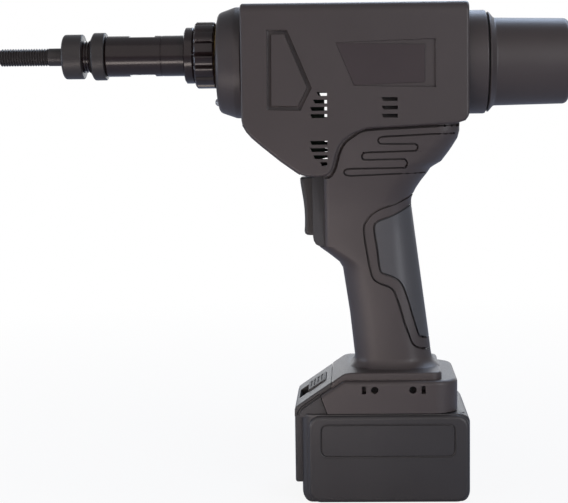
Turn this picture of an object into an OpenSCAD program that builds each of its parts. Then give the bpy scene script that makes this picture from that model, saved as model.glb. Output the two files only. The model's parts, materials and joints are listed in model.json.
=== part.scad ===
// Battery tool for setting blind rivet nuts: a pistol body with a threaded mandrel in its nose,
// a motor and reduction gear that draw the mandrel back, and a slide-on battery pack as its foot.
// The nose points to -X and +Z is up. The origin is the middle of the pack's underside.

/* [Body] */
// Length of the body casing
body_len = 124.7; // [122:0.1:130]
// Height of the body casing at its rear
body_h = 64.8; // [63:0.2:68]
// Width of the body casing
body_w = 66; // [62:0.5:72]
// How far the body reaches behind the middle of the pack
body_back = 45.6; // [44:0.2:50]
// Height of the body's top above the base
body_top = 276.8; // [275:0.2:282]
// Depth of the spindle axis below the body's top
spindle_drop = 26.8; // [26:0.2:28]
// Wall of the casing
shell_wall = 2.5; // [2:0.1:3]
// Rounding of the body's upper edges
edge_r = 6; // [4:0.5:8]
// Rounding of the body's lower edges
low_edge_r = 3; // [2:0.5:4]
// Thickness of the bulkheads inside the body
rib_t = 3; // [2:0.5:4]
// Length of the chin under the body's front
chin_len = 37.4; // [36:0.2:39]
// Depth of the chin below the body
chin_drop = 30; // [29:0.5:31]
// Thickness of the plate on the chin
chin_plate_t = 1.2; // [0.8:0.1:1.6]
// Width of the plate on the chin
chin_plate_w = 46; // [36:1:54]

/* [Side details] */
// Depth of the panel groove and of the plate recess
recess_d = 1.2; // [0.8:0.1:1.6]
// Thickness of the bare side plates
side_plate_t = 0.8; // [0.4:0.1:1]
// Width of the panel groove
panel_groove_w = 2.2; // [1.5:0.1:3]
// Length of the panel
panel_l = 24.4; // [20:0.2:27]
// Height of the panel
panel_h = 43.6; // [38:0.2:48]
// Distance of the panel behind the body's front
panel_set = 14.6; // [13:0.2:17]
// Depth of the panel's top below the body's top
panel_drop = 14.7; // [12:0.1:18]
// Length of the side plate
plate_l = 48; // [40:0.5:52]
// Height of the side plate
plate_h = 22; // [18:0.5:26]
// Distance of the side plate behind the body's front
plate_set = 52; // [50:0.5:56]
// Depth of the side plate's top below the body's top
plate_drop = 22.3; // [20:0.1:26]
// Height of a cooling slot
vent_h = 2.2; // [1.6:0.1:2.6]
// Distance from slot to slot
vent_pitch = 4; // [3.4:0.1:5]
// Longest front cooling slot
vent_l = 8.8; // [7:0.2:9]
// Distance of the front slots' rear ends behind the body's front
vent_set = 47; // [45:0.5:49]
// Depth of the first upper slot below the body's top
vent_drop = 49.6; // [49:0.2:52]
// Depth of the first lower slot below the body's top
low_vent_drop = 76.2; // [75:0.2:78]
// Length of the rear cooling slots
rear_vent_l = 8.4; // [6:0.2:9]
// Distance of the rear slots behind the body's front
rear_vent_set = 77.4; // [76:0.2:80]
// Depth of the first rear slot below the body's top
rear_vent_drop = 52.8; // [52:0.2:55]
// Distance from rear slot to rear slot
rear_vent_pitch = 4.6; // [4:0.1:5]

/* [Handle] */
// Depth of the handle at its foot, front to back
grip_d = 44; // [41:0.5:47]
// Width of the handle
grip_w = 38; // [36:0.5:42]
// Rounding of the handle's edges
grip_r = 14; // [10:0.5:17]
// How far the handle's back reaches behind the middle of the pack at the foot
grip_back = 27; // [25:0.5:29]
// Lean of the handle
grip_lean = 7.5; // [6:0.1:9]
// Wall of the handle
grip_wall = 4.5; // [3.8:0.1:5]
// Depth of the soft palm pads
pad_t = 2; // [1.4:0.1:2.6]

/* [Foot] */
// Height of the foot's top above the base
foot_top = 72.6; // [71.6:0.2:74]
// Height of the foot's lower rim above the base
foot_low = 50.5; // [50.3:0.1:52]
// Thickness of the plate between the handle and the skirt
foot_plate_t = 4.2; // [3.5:0.1:5]
// How far the foot reaches behind the middle of the pack
foot_back = 39.5; // [38:0.5:42]
// How far the foot reaches in front of the middle of the pack
foot_front = 37; // [36:0.5:38.5]
// Width of the foot
foot_w = 72; // [70:0.5:74]
// Rounding of the foot's rear corners
foot_r = 9; // [6:0.5:12]
// Depth of the bay that takes the pack's top
bay_d = 14; // [13:0.2:14.6]
// Wall of the foot beside the bay
bay_wall = 8; // [7:0.5:10]
// Height of the rails in the bay
rail_h = 3.5; // [2.5:0.1:4]
// Width of the rails in the bay
rail_w = 3.5; // [2.5:0.1:4]

/* [Nose] */
// Length of the boss in front of the body
boss_len = 14.4; // [12:0.2:17]
// Diameter of the boss at the body
boss_d = 62.6; // [60:0.2:64]
// Diameter of the boss at its front
boss_front_d = 57; // [54:0.2:59]
// Length of the thin ring in front of the boss
trim_len = 1; // [0.6:0.1:2]
// Diameter of the thin ring
trim_d = 36; // [33:0.2:37]
// Length of the fluted stroke collar
collar_len = 12.2; // [11:0.2:18]
// How far the stroke collar stands above the barrel
collar_h = 7.3; // [6.5:0.1:8.5]
// Number of lobes on the stroke collar
collar_lobes = 16; // [12:1:20]
// Length of the lock ring
lock_len = 5.7; // [4:0.1:7]
// Diameter of the lock ring
lock_d = 31.6; // [29:0.2:34]
// Length of the barrel in front of the lock ring
barrel_len = 45; // [38:0.5:50]
// Diameter of the barrel
barrel_d = 22.9; // [21.5:0.1:24]
// Length of the wrench flats on the barrel
flat_len = 14.5; // [10:0.5:18]
// Width across the wrench flats
flat_w = 21; // [20:0.1:21.4]
// Length of the jam nut
jam_len = 8.8; // [8:0.1:13]
// Diameter of the jam nut
jam_d = 26.8; // [24:0.2:29]
// Diameter of the threaded neck
neck_d = 18; // [17:0.1:19]
// Gap between the jam nut and the anvil
neck_gap = 4.1; // [0.6:0.1:5]
// Length of the anvil
anvil_len = 11.3; // [10:0.1:17]
// Diameter of the anvil
anvil_d = 25.2; // [23:0.2:28]
// Rounding of the anvil's front edge
anvil_r = 2; // [1:0.1:5]
// Diameter of the mandrel
mandrel_d = 10; // [9:0.1:10.5]
// Plain length of the mandrel in front of the anvil
shank_len = 9.2; // [4:0.1:10]
// Threaded length of the mandrel
thread_len = 27.8; // [18:0.2:34]
// Pitch of the mandrel's thread
thread_pitch = 1.5; // [1.25:0.05:1.75]
// Diameter of the light beside the nose
lamp_d = 4.6; // [4:0.1:5.5]
// Depth of the light below the middle of the boss
lamp_drop = 22; // [20:0.2:23]

/* [Drive] */
// Stroke of the draw spindle
stroke = 7; // [5:0.5:7]
// Lead of the draw screw
screw_lead = 4; // [3:0.5:5]
// Diameter of the draw spindle
spindle_d = 14; // [13:0.1:14.4]
// Diameter of the gear housing
housing_d = 40; // [39:0.5:41]
// Wall of the gear housing
housing_wall = 2; // [1.6:0.1:2.2]
// Diameter of the drive nut's hub
hub_d = 26; // [24:0.5:27]
// Length of the drive nut's hub
hub_len = 38; // [36:0.5:40]
// Length of the drive nut's geared cup
cup_len = 14; // [13:0.5:15]
// Diameter of the thrust balls
ball_d = 3; // [2.6:0.1:3.4]
// Number of thrust balls
ball_n = 12; // [8:1:14]
// Thickness of a thrust race
race_t = 2; // [1.5:0.1:2.5]
// Module of the nut's gear and its pinion
nut_module = 1; // [0.98:0.01:1.02]
// Module of the planet stage
planet_module = 0.7; // [0.68:0.01:0.72]
// Width of the planets
planet_w = 8; // [7:0.5:9]
// Diameter of the planet pins
planet_pin_d = 4; // [3:0.1:4.5]

/* [Motor] */
// Diameter of the motor
motor_d = 42; // [41:0.2:42.4]
// Length of the motor's can
motor_len = 68; // [60:1:70]
// Diameter of the motor's shaft
shaft_d = 5; // [4.6:0.1:5.6]
// Diameter of the rotor
rotor_d = 22; // [20:0.5:23]
// Clearance round the cooling fan
fan_gap = 2.2; // [1:0.1:4]
// Number of fan blades
fan_blades = 9; // [7:1:11]

/* [Rear] */
// Length of the rear collar
rear_collar_len = 11.2; // [10:0.2:13]
// Diameter of the rear collar
rear_collar_d = 58; // [56:0.2:60]
// Length of the seal behind the rear collar
seal_len = 0.8; // [0.6:0.1:1.2]
// Length of the cone at the cap's front
cap_cone_len = 3.6; // [2:0.2:5]
// Length of the rear cap behind its cone
cap_len = 41.8; // [41:0.2:48]
// Diameter of the rear cap at its front
cap_d = 49; // [48.4:0.1:51]
// Diameter of the rear cap at its end
cap_end_d = 47.8; // [47.6:0.1:50]
// Rounding of the rear cap's end
cap_r = 2.6; // [1:0.1:4]

/* [Trigger] */
// Travel of the trigger
trigger_travel = 6; // [4:0.5:6]
// Height of the trigger
trigger_h = 32.5; // [29:0.5:34]
// Width of the trigger
trigger_w = 20; // [16:0.5:22]
// How far the trigger stands out of its bezel
trigger_out = 7.4; // [6.5:0.1:9]
// Depth of the bezel, front to back
bezel_d = 6.6; // [6:0.1:8]
// Width of the bezel
bezel_w = 30; // [27:0.5:33]
// Height of the bezel
bezel_h = 40; // [38:0.2:41]
// Length of the switch behind the bezel
switch_len = 20; // [16:0.5:24]

/* [Battery] */
// Length of the pack's case
pack_len = 94; // [92:0.5:97]
// How far the pack's case reaches behind the middle of its base
pack_back = 46; // [45:0.5:48]
// Width of the pack's case
pack_w = 70; // [69.5:0.5:72]
// Height of the pack's case
pack_h = 48; // [47:0.5:48.4]
// Wall of the pack
pack_wall = 2; // [1.6:0.1:2.3]
// Rounding of the pack's upright edges
pack_r = 7; // [4:0.5:9]
// Thickness of the raised side panels
pack_panel_t = 2; // [1:0.1:2.5]
// Length of the raised side panels
pack_panel_l = 89; // [84:0.5:90]
// Height of the label recess
label_h = 18.4; // [14:0.2:22]
// Length of the label recess
label_l = 74.6; // [66:0.2:80]
// Depth of the label recess
label_d = 0.6; // [0.3:0.1:1]
// Thickness of the apron on the pack's front
apron_t = 4; // [3:0.1:5]
// Width of the apron
apron_w = 50; // [40:1:56]
// Height of the apron's lower end above the base
apron_low = 10; // [6:0.5:16]
// Diameter of a cell
cell_d = 18.4; // [18:0.1:18.6]
// Length of a cell
cell_len = 65; // [64:0.5:65.2]
// Travel of the release button
release_travel = 2.4; // [1.5:0.1:3]
// Length of the release button along the slope
release_l = 12; // [9:0.5:13]
// Width of the release button
release_w = 24; // [18:0.5:28]

/* [Fits] */
// Running clearance of turning and sliding pieces, at the radius
run_gap = 0.05; // [0.02:0.01:0.1]
// Clearance between pieces that are fixed together
seat_gap = 0.03; // [0.01:0.01:0.06]
// Free clearance round a moving piece
free_gap = 0.4; // [0.3:0.05:0.5]
// Play of the gear teeth at the pitch circle, each flank
tooth_play = 0.12; // [0.1:0.01:0.16]

/* [Hidden] */
$fn = 48;

// One overrun for every cut
over = 1;
// Reach of the boxes that cut a piece in halves
far = 2 * body_top;

// Heights
spindle_z = body_top - spindle_drop;
body_low = body_top - body_h;
boss_z = body_top - boss_d / 2;

// The nut's gear runs round its pinion, so their axes lie half a tooth difference apart
nut_teeth = 26;
pinion_teeth = 15;
motor_z = spindle_z - nut_module * (nut_teeth - pinion_teeth) / 2;
sun_teeth = 12;
planet_teeth = 15;
ring_teeth = sun_teeth + 2 * planet_teeth;
planet_n = 3;
planet_orbit = planet_module * (sun_teeth + planet_teeth) / 2;
addendum_share = 0.8;
dedendum_share = 1.1;
pressure_angle = 20;

// Places along the nose, from the body forwards
x_rear = body_back;
x_front = x_rear - body_len;
x_boss = x_front - boss_len;
x_trim = x_boss - trim_len;
x_collar = x_trim - collar_len;
x_lock = x_collar - lock_len;
x_barrel = x_lock - barrel_len;
x_jam = x_barrel - jam_len;
x_anvil_rear = x_jam - neck_gap;
x_anvil = x_anvil_rear - anvil_len;
x_shank = x_anvil - shank_len;
x_tip = x_shank - thread_len;

// The barrel's inner end and the drive behind it
barrel_flange_len = 5;
barrel_flange_d = housing_d - 2 * housing_wall - 2 * seat_gap;
neck_in = 5;
x_neck = x_anvil_rear - neck_in;
x_flange = x_front + barrel_flange_len;
x_race = x_flange + race_t;
x_balls = x_race + ball_d;
x_nut = x_balls + race_t;
nut_flange_len = 4;
nut_flange_d = 34;
x_hub = x_nut + nut_flange_len;
x_cup = x_hub + hub_len;
x_cup_end = x_cup + cup_len;
cup_floor = 1;
cup_wall = 1.8;
cup_r = nut_module * (nut_teeth / 2 + dedendum_share) + cup_wall;
bearing_w = 9;
bearing_set = 15;
x_bearing = x_hub + bearing_set;
plate_gap = 1;
gearbox_plate_t = 3;
x_plate = x_cup_end + plate_gap;
x_ring = x_plate + gearbox_plate_t;
carrier_t = 3;
carrier_shaft_d = 10;
carrier_bearing_d = 16;
carrier_gap = 0.5;
carrier_d = 2 * planet_module * (ring_teeth / 2 - addendum_share) - 2 * carrier_gap;
pinion_len = 11;
pinion_set = 1.5;
x_pinion = x_cup + pinion_set;
x_carrier = x_ring + free_gap;
x_planets = x_carrier + carrier_t + free_gap;
x_planet_end = x_planets + planet_w;
planet_pin_out = 0.3;
ring_d = 38;
motor_front_set = 2;
x_motor_plate = x_planet_end + motor_front_set;
motor_plate_t = 3;
x_can = x_motor_plate + motor_plate_t;
x_can_end = x_can + motor_len;
x_motor_end = x_can_end + motor_plate_t;
motor_bearing_d = 13;
can_wall = 1.2;
stator_set = 6;
stator_gap = 0.6;
rotor_set = 8;
sun_set = 0.5;
fan_set = 1;
fan_len = 8;
fan_hub_d = 12;
blade_t = 1.6;
blade_set = 0.5;
shaft_tail = 1;
x_fan = x_motor_end + fan_set;
x_shaft_end = x_fan + fan_len + shaft_tail;

// The draw spindle and the mandrel's tail inside it
spindle_rear_set = 7;
x_spindle_rear = x_cup - spindle_rear_set;
spindle_front_set = 8;
x_spindle = x_neck + spindle_front_set;
tail_d = 8;
tail_len = 19;
shoulder_set = 1.5;
x_shoulder = x_spindle - shoulder_set;
screw_groove_d = 1.2;
key_w = 4;
key_len = 8;
key_h = 3.5;
key_in = 2.2;
key_set = 8;
x_key = x_flange - barrel_flange_len - boss_len - key_set;
key_play = 0.2;
anvil_bore_play = 0.2;

// The rear end
x_collar_end = x_rear + rear_collar_len;
x_seal_end = x_collar_end + seal_len;
x_cap = x_seal_end + cap_cone_len;
x_cap_end = x_cap + cap_len;
cap_floor = 2;
seal_in = 2;
motor_bore_gap = 0.2;

// The handle's outline, as shares of its depth and of its height above the foot
handle_h = body_low - foot_top;
grip_front = grip_back - grip_d;
upper_front_shares = [[-0.164, 0.390], [-0.205, 0.428], [-0.334, 0.462]];
bezel_low_share = 0.487;
bezel_set_share = 0.395;
bezel_x = grip_front - bezel_set_share * grip_d;
upper_back_shares = [[1.318, 1], [1.293, 0.931], [1.098, 0.838], [0.975, 0.818],
    [0.84, 0.758], [0.723, 0.696], [0.34, 0.59]];
// Half widths of the handle's upper part, as shares of the body's and of the handle's height
upper_width_shares = [[0.576, 0.38], [0.576, 0.56], [0.62, 0.67], [0.72, 0.77],
    [0.86, 0.88], [0.97, 0.97], [0.98, 1.05]];
// The palm pad's front edge, as shares of the handle's depth and height
pad_shares = [[0.69, 0.66], [0.475, 0.624], [0.284, 0.6], [0.232, 0.572], [0.268, 0.491],
    [0.305, 0.402], [0.368, 0.386], [0.47, 0.374], [0.57, 0.349], [0.648, 0.292],
    [0.786, 0.144], [0.836, 0.1255], [0.907, 0.1155]];
pad_back_share = 1.4;
// The chin's lower edge, as shares of its length and of its depth
chin_shares = [[0, 0], [0.04, 0.18], [0.11, 0.30], [0.26, 0.45], [0.85, 0.975], [1, 1]];
chin_plate_shares = [0.26, 0.80];
// The panel and the side plate, as shares of their length and height
panel_shares = [[0, 0], [0.46, 0], [1, 0.72], [0.75, 1], [0, 1]];
plate_shares = [[0, 0], [1, 0.02], [1, 0.95], [0.19, 1]];
// Lengths of the front slots, as shares of the longest
vent_shares = [0.58, 0.81, 1, 0.98];
low_vent_shares = [0.98, 0.98, 0.8, 0.38];
rear_vent_n = 3;

// Screws that join the shells, as shares of the body's length and height
screw_shares = [[0.062, 0.935], [0.926, 0.935], [0.09, -0.075], [0.926, 0.085], [0.80, -0.21]];
grip_screw_share = 0.18;
screw_d = 3.2;
screw_head_d = 5.8;
screw_head_h = 2.2;
screw_len = 22;
screw_head_y = 10;
pilot_gap = 0.02;
post_wall = 1.6;
foot_screw_shares = [0.2545, 1.218];
foot_screw_d = 4;
foot_screw_l = 3;
foot_screw_up = 13.2;
foot_slot_w = 1.8;
foot_slot_h = 4.2;
foot_slot_set = 5.9;

// The lamp
lamp_len = 6;
lamp_board_t = 1.6;
lamp_board_w = 9;
lamp_out = 1;

// The trigger group
bezel_top = body_low - chin_drop - seat_gap;
trigger_top_set = 1.6;
bezel_wall = 2.4;
trigger_in = 4.2;
spring_d = 6;
spring_wire = 0.8;
spring_turns = 6;
trigger_pocket = 3;
switch_w = 18;
switch_h = 26;
switch_set = 9;
x_bezel = bezel_x - bezel_d;
x_trigger = x_bezel - trigger_out;
x_trigger_rear = x_bezel + trigger_in;
x_switch = bezel_x + switch_set;
bezel_tab = grip_wall;
bezel_r = 5;
trigger_scoop_r = 60;
trigger_scoop = 1.6;

// The control board in the chin
board_t = 1.6;
board_l = 19;
board_h = 35;
board_set = 26;
board_low_set = 21;
board_chip_t = 3;
board_chips = 3;
board_rail = 2;
board_rail_h = 12;

// The terminal block in the foot
block_l = 26;
block_w = 32;
block_h = 4.4;
block_set = 8;
blade_gap = 20;
blade_w = 1.2;
blade_l = 14;
blade_drop = 7;

// The pack's top
x_pack_front = pack_back - pack_len;
x_apron = x_pack_front - apron_t;
bay_top = foot_low + bay_d;
bay_w = foot_w - 2 * bay_wall;
foot_slope_set = 3.5;
foot_slope_share = 0.54;
riser_slope = 33;
riser_front_up = 3;
riser_gap = 0.6;
tower_gap = 0.5;
tower_rear_gap = 0.8;
tower_wall = 2;
lid_t = 2;
bay_rear_wall = 3.5;
riser_w = 66;
tower_front_set = 6.5;
slot_gap = 0.8;
post_d = 7;
pack_post_set = 6;
pack_board_t = 1.6;
cell_rib = 0.2;
cell_gap = 0.1;
contact_l = 12;
contact_h = 9;
contact_w = 1;
contact_set = 4.5;
pack_screw_d = 3;
pack_screw_l = 20;
pack_screw_head_d = 5.4;
pack_screw_head_h = 1.2;
release_t = 6;
release_set = 13.5;
release_lip = 1.2;
finger_l = 6.5;
finger_d = 4;
release_spring_d = 7;
release_turns = 2;

function arc(c, r, a0, a1, n = 6) =
    [for (i = [0:n]) c + r * [cos(a0 + (a1 - a0) * i / n), sin(a0 + (a1 - a0) * i / n)]];
function grip_pt(s) = [grip_front + s[0] * grip_d, foot_top + s[1] * handle_h];
function moved(pts, d) = [for (p = pts) p + d];

// Half angle of a tooth at radius r, from the involute of its pitch circle
function inv_deg(a) = tan(a) * 180 / PI - a;
function tooth_half(r, z, m, play) =
    let (rp = m * z / 2, rb = rp * cos(pressure_angle), a = acos(min(1, rb / max(r, rb))))
    90 / z - play / rp * 180 / PI + inv_deg(pressure_angle) - inv_deg(a);
function polar(r, a) = r * [cos(a), sin(a)];
function gear_pts(z, m, low, high, play) =
    let (rp = m * z / 2, radii = [rp - low * m, rp - low * m / 2, rp, rp + high * m])
    [for (i = [0:z - 1]) each concat(
        [for (r = radii) polar(r, 360 * i / z - tooth_half(r, z, m, play))],
        [for (k = [len(radii) - 1:-1:0]) polar(radii[k], 360 * i / z + tooth_half(radii[k], z, m, play))])];

module spur(z, m) polygon(gear_pts(z, m, dedendum_share, addendum_share, tooth_play));
module inner_gear(z, m) polygon(gear_pts(z, m, addendum_share, dedendum_share, -tooth_play));

// Rods, tubes and turned shapes along X, and outlines drawn on the side or across the body
module rod(x0, x1, z, d) translate([x0, 0, z]) rotate([0, 90, 0]) cylinder(h = x1 - x0, d = d);
module tube(x0, x1, z, d, bore) difference() {
    rod(x0, x1, z, d);
    rod(x0 - over, x1 + over, z, bore);
}
module turned(z, pts) translate([0, 0, z]) rotate([0, 90, 0]) rotate_extrude() polygon(pts);
module across(x0, x1, z = 0) translate([x0, 0, z]) rotate([90, 0, 90]) linear_extrude(x1 - x0) children();
module sideways(y0, y1) translate([0, y1, 0]) rotate([90, 0, 0]) linear_extrude(y1 - y0) children();
module box(x0, x1, y0, y1, z0, z1) translate([x0, y0, z0]) cube([x1 - x0, y1 - y0, z1 - z0]);
module half(side) intersection() {
    children();
    box(-far, far, side < 0 ? -far : 0, side < 0 ? 0 : far, -far, far);
}
module ball_ring(x, z, orbit, d, n) for (i = [0:n - 1])
    translate([x, 0, z]) rotate([360 * i / n, 0, 0]) translate([0, 0, orbit]) sphere(d = d);

// An open coil along X, as one tube of six sides
module coil(x0, x1, d, wire, turns) {
    sides = 6;
    steps_a_turn = 10;
    steps = steps_a_turn * turns;
    r = (d - wire) / 2;
    run = x1 - x0 - wire;
    pts = [for (i = [0:steps]) for (j = [0:sides - 1])
        let (a = 360 * turns * i / steps, b = 360 * j / sides, q = r + wire / 2 * cos(b))
        [x0 + wire / 2 + run * i / steps + wire / 2 * sin(b), q * cos(a), q * sin(a)]];
    walls = [for (i = [0:steps - 1]) for (j = [0:sides - 1])
        let (a = i * sides + j, b = i * sides + (j + 1) % sides)
        each [[a, b, b + sides], [a, b + sides, a + sides]]];
    caps = [[for (j = [sides - 1:-1:0]) j], [for (j = [0:sides - 1]) steps * sides + j]];
    polyhedron(pts, concat(walls, caps), convexity = 10);
}

// The casing's forms: each is drawn in by d for the cavity
module body_section(d) {
    w = body_w / 2 - d;
    top = body_top - d;
    low = body_low + d;
    polygon(concat(arc([w - edge_r, top - edge_r], edge_r, 0, 90),
        arc([-w + edge_r, top - edge_r], edge_r, 90, 180),
        arc([-w + low_edge_r, low + low_edge_r], low_edge_r, 180, 270, 4),
        arc([w - low_edge_r, low + low_edge_r], low_edge_r, 270, 360, 4)));
}
module body_form(d) across(x_front + d, x_rear - d) body_section(d);
module chin_form(d) {
    low = [for (s = chin_shares) [x_front + d + s[0] * (chin_len - d), body_low - s[1] * (chin_drop - d)]];
    top = body_low + low_edge_r + d;
    pts = concat([[x_front + d, top]], low, [[bezel_x + d, body_low - chin_drop + d], [bezel_x + d, top]]);
    sideways(-body_w / 2 + d, body_w / 2 - d) polygon(pts);
}
module grip_section(d) {
    w = grip_w / 2 - d;
    l = grip_d * cos(grip_lean) / 2 - d;
    r = grip_r - d;
    polygon(concat(arc([l - r, w - r], r, 0, 90), arc([-l + r, w - r], r, 90, 180),
        arc([-l + r, -w + r], r, 180, 270), arc([l - r, -w + r], r, 270, 360)));
}
module grip_form(d) intersection() {
    translate([(grip_front + grip_back) / 2, 0, foot_top]) rotate([0, -grip_lean, 0])
        translate([0, 0, -grip_d / 2]) linear_extrude(handle_h) grip_section(d);
    box(-far, far, -far, far, foot_top - foot_plate_t, foot_top + upper_back_shares[5][1] * handle_h);
}
module upper_form(d) {
    front = concat(moved([for (s = upper_front_shares) grip_pt(s)], [d, 0]),
        [[bezel_x + d, foot_top + bezel_low_share * handle_h], [bezel_x + d, body_low + low_edge_r + d]]);
    back = moved([for (s = upper_back_shares) grip_pt(s)], [-d, 0]);
    top = [back[0][0], body_low + low_edge_r + d];
    width = [for (s = upper_width_shares) [s[0] * body_w / 2 - d, foot_top + s[1] * handle_h]];
    intersection() {
        sideways(-body_w / 2, body_w / 2) polygon(concat(front, [top], back));
        across(-far, far) polygon(concat(width,
            [for (i = [len(width) - 1:-1:0]) [-width[i][0], width[i][1]]]));
    }
}

// The foot: a plate under the handle and a skirt that goes round the pack's top
function foot_plan(x0, x1, w, r) = concat([[x0, -w / 2]], arc([x1 - r, -w / 2 + r], r, 270, 360),
    arc([x1 - r, w / 2 - r], r, 0, 90), [[x0, w / 2]]);
foot_mid = foot_low + foot_slope_share * (foot_top - foot_plate_t - foot_low);
foot_plate_low = foot_top - foot_plate_t;
x_slope_top = -foot_front + (foot_plate_low - foot_mid) / tan(riser_slope);
module foot_form() intersection() {
    union() {
        translate([0, 0, foot_low]) linear_extrude(foot_plate_low - foot_low)
            polygon(foot_plan(-far, foot_back, foot_w, foot_r));
        translate([0, 0, foot_plate_low]) linear_extrude(foot_plate_t)
            polygon(foot_plan(-far, foot_back - foot_r, foot_w - foot_r, foot_r));
    }
    sideways(-foot_w, foot_w) polygon([[-foot_front + foot_slope_set, foot_low], [foot_back, foot_low],
        [foot_back, foot_top], [x_slope_top + foot_plate_t / tan(riser_slope), foot_top],
        [-foot_front, foot_mid]]);
}
x_bay_rear = foot_back - bay_rear_wall;
module foot_bay() {
    box(-far, x_bay_rear, -bay_w / 2 + rail_w, bay_w / 2 - rail_w, foot_low - over, bay_top);
    box(-far, x_bay_rear, -bay_w / 2, bay_w / 2, foot_low + rail_h, bay_top);
}
x_block = -block_set + tower_front_set;
module block_pocket(d) box(x_block - d, x_block + block_l + d, -block_w / 2 - d, block_w / 2 + d,
    bay_top - over, bay_top + block_h + d);
module foot_screw_places(side) for (s = foot_screw_shares)
    translate([grip_front + foot_plate_t + s * grip_d / 2, side * foot_w / 2,
        foot_low + foot_screw_up]) children();

// The pieces' own places on the side of the body
function panel_pts(d) = let (x = x_front + panel_set, z = body_top - panel_drop,
    c = [panel_l / 2, panel_h / 2])
    [for (s = panel_shares) let (p = [s[0] * panel_l, s[1] * panel_h], q = p - d * (p - c) / norm(p - c))
        [x + q[0], z - q[1]]];
plate_mid_share = 0.55;
function plate_pts(d) = let (x = x_front + plate_set, z = body_top - plate_drop,
    c = [plate_mid_share * plate_l, plate_h / 2])
    [for (s = plate_shares) let (p = [s[0] * plate_l, s[1] * plate_h], q = p - d * (p - c) / norm(p - c))
        [x + q[0], z - q[1]]];
module vents(side) {
    y0 = side < 0 ? -far : body_w / 2 - shell_wall - over;
    y1 = y0 + far - body_w / 2 + shell_wall + over;
    x = x_front + vent_set;
    for (i = [0:len(vent_shares) - 1]) {
        z = body_top - vent_drop - i * vent_pitch;
        box(x - vent_shares[i] * vent_l, x, y0, y1, z - vent_h / 2, z + vent_h / 2);
        low = body_top - low_vent_drop - i * vent_pitch;
        box(x - low_vent_shares[i] * vent_l, x, y0, y1, low - vent_h / 2, low + vent_h / 2);
    }
    for (i = [0:rear_vent_n - 1]) {
        z = body_top - rear_vent_drop - i * rear_vent_pitch;
        rear_x = x_front + rear_vent_set;
        box(rear_x, rear_x + rear_vent_l, y0, y1, z - vent_h / 2, z + vent_h / 2);
    }
}

// Screw posts: each runs from the outer wall to the joint between the shells
function screw_places() = concat([for (s = screw_shares)
    [x_front + s[0] * body_len, body_low + s[1] * body_h]],
    [[(grip_front + grip_back) / 2 - sin(grip_lean) * grip_screw_share * handle_h,
      foot_top + grip_screw_share * handle_h]]);
module posts(d) for (p = screw_places()) sideways(-far, far) translate(p) circle(d = d);
module post_drill(side) for (p = screw_places())
    if (side < 0) sideways(-screw_len + screw_head_y - over, over) translate(p)
        circle(d = screw_d + 2 * pilot_gap);
    else {
        sideways(-over, far) translate(p) circle(d = screw_d + 2 * free_gap);
        sideways(screw_head_y, far) translate(p) circle(d = screw_head_d + 2 * free_gap);
    }

// Bulkheads that cradle the gear housing and the motor
rib_shares = [0.16, 0.49, 0.79, 0.95];
module ribs() for (s = rib_shares)
    box(x_front + s * body_len, x_front + s * body_len + rib_t, -far, far, body_low + shell_wall, far);
module board_rails() {
    x = x_front + board_set;
    z = body_low - board_low_set;
    for (e = [x - board_rail, x + board_l - board_rail])
        box(e, e + 2 * board_rail, -far, far, z - board_rail_h, z + board_rail_h);
}
module switch_rails() for (z = [bezel_top - bezel_h / 2 - switch_h / 2,
    bezel_top - bezel_h / 2 + switch_h / 2 - rib_t])
    box(x_switch + rib_t, x_switch + switch_len - rib_t, -far, far, z, z + rib_t);

module shell(side) half(side) difference() {
    union() {
        body_form(0);
        chin_form(0);
        grip_form(0);
        upper_form(0);
        foot_form();
    }
    difference() {
        union() {
            body_form(shell_wall);
            chin_form(shell_wall);
            grip_form(grip_wall);
            upper_form(grip_wall);
        }
        ribs();
        posts(screw_head_d + 2 * post_wall);
        board_rails();
        switch_rails();
    }
    post_drill(side);
    rod(x_front - over, x_plate + gearbox_plate_t + seat_gap, spindle_z, housing_d + 2 * seat_gap);
    rod(x_plate - over, x_rear + over, motor_z, motor_d + 2 * seat_gap);
    foot_bay();
    block_pocket(seat_gap);
    vents(side);
    panel_groove(side);
    sideways(side < 0 ? -far : body_w / 2 - recess_d, side < 0 ? -body_w / 2 + recess_d : far)
        polygon(plate_pts(0));
    pad_form(side, 0);
    foot_screw_places(side) rotate([90, 0, 0])
        cylinder(h = 2 * foot_screw_l, d = foot_screw_d + 2 * seat_gap, center = true);
    foot_slots(side);
    bezel_hole();
    trigger_block(free_gap, trigger_travel + free_gap);
    board_slot();
    switch_form(seat_gap);
    chin_plate_form(seat_gap);
}
module panel_groove(side) difference() {
    y = side * body_w / 2;
    sideways(y - recess_d, y + recess_d) polygon(panel_pts(0));
    sideways(y - recess_d - over, y + recess_d + over) polygon(panel_pts(panel_groove_w));
}
module foot_slots(side) for (e = [-1, 1]) {
    places = [for (s = foot_screw_shares) grip_front + foot_plate_t + s * grip_d / 2];
    x = (e < 0 ? places[0] : places[1]) + e * foot_slot_set;
    z = foot_low + foot_screw_up;
    y = side * foot_w / 2;
    box(x - foot_slot_w / 2, x + foot_slot_w / 2, y - foot_screw_l, y + foot_screw_l,
        z - foot_slot_h / 2, z + foot_slot_h / 2);
}
module left_shell() color("dimgray") shell(-1);
module right_shell() color("dimgray") shell(1);

// Soft pads let into the handle's back
module pad_form(side, d) half(side) intersection() {
    difference() {
        grip_form(-over);
        grip_form(pad_t - d);
    }
    sideways(-far, far) polygon(concat([for (s = pad_shares) grip_pt(s)],
        [grip_pt([pad_back_share, pad_shares[len(pad_shares) - 1][1]]),
            grip_pt([pad_back_share, pad_shares[0][1]])]));
}
module palm_pad(side) color("darkslategray") intersection() {
    pad_form(side, seat_gap);
    grip_form(0);
}
module left_palm_pad() palm_pad(-1);
module right_palm_pad() palm_pad(1);

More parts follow.
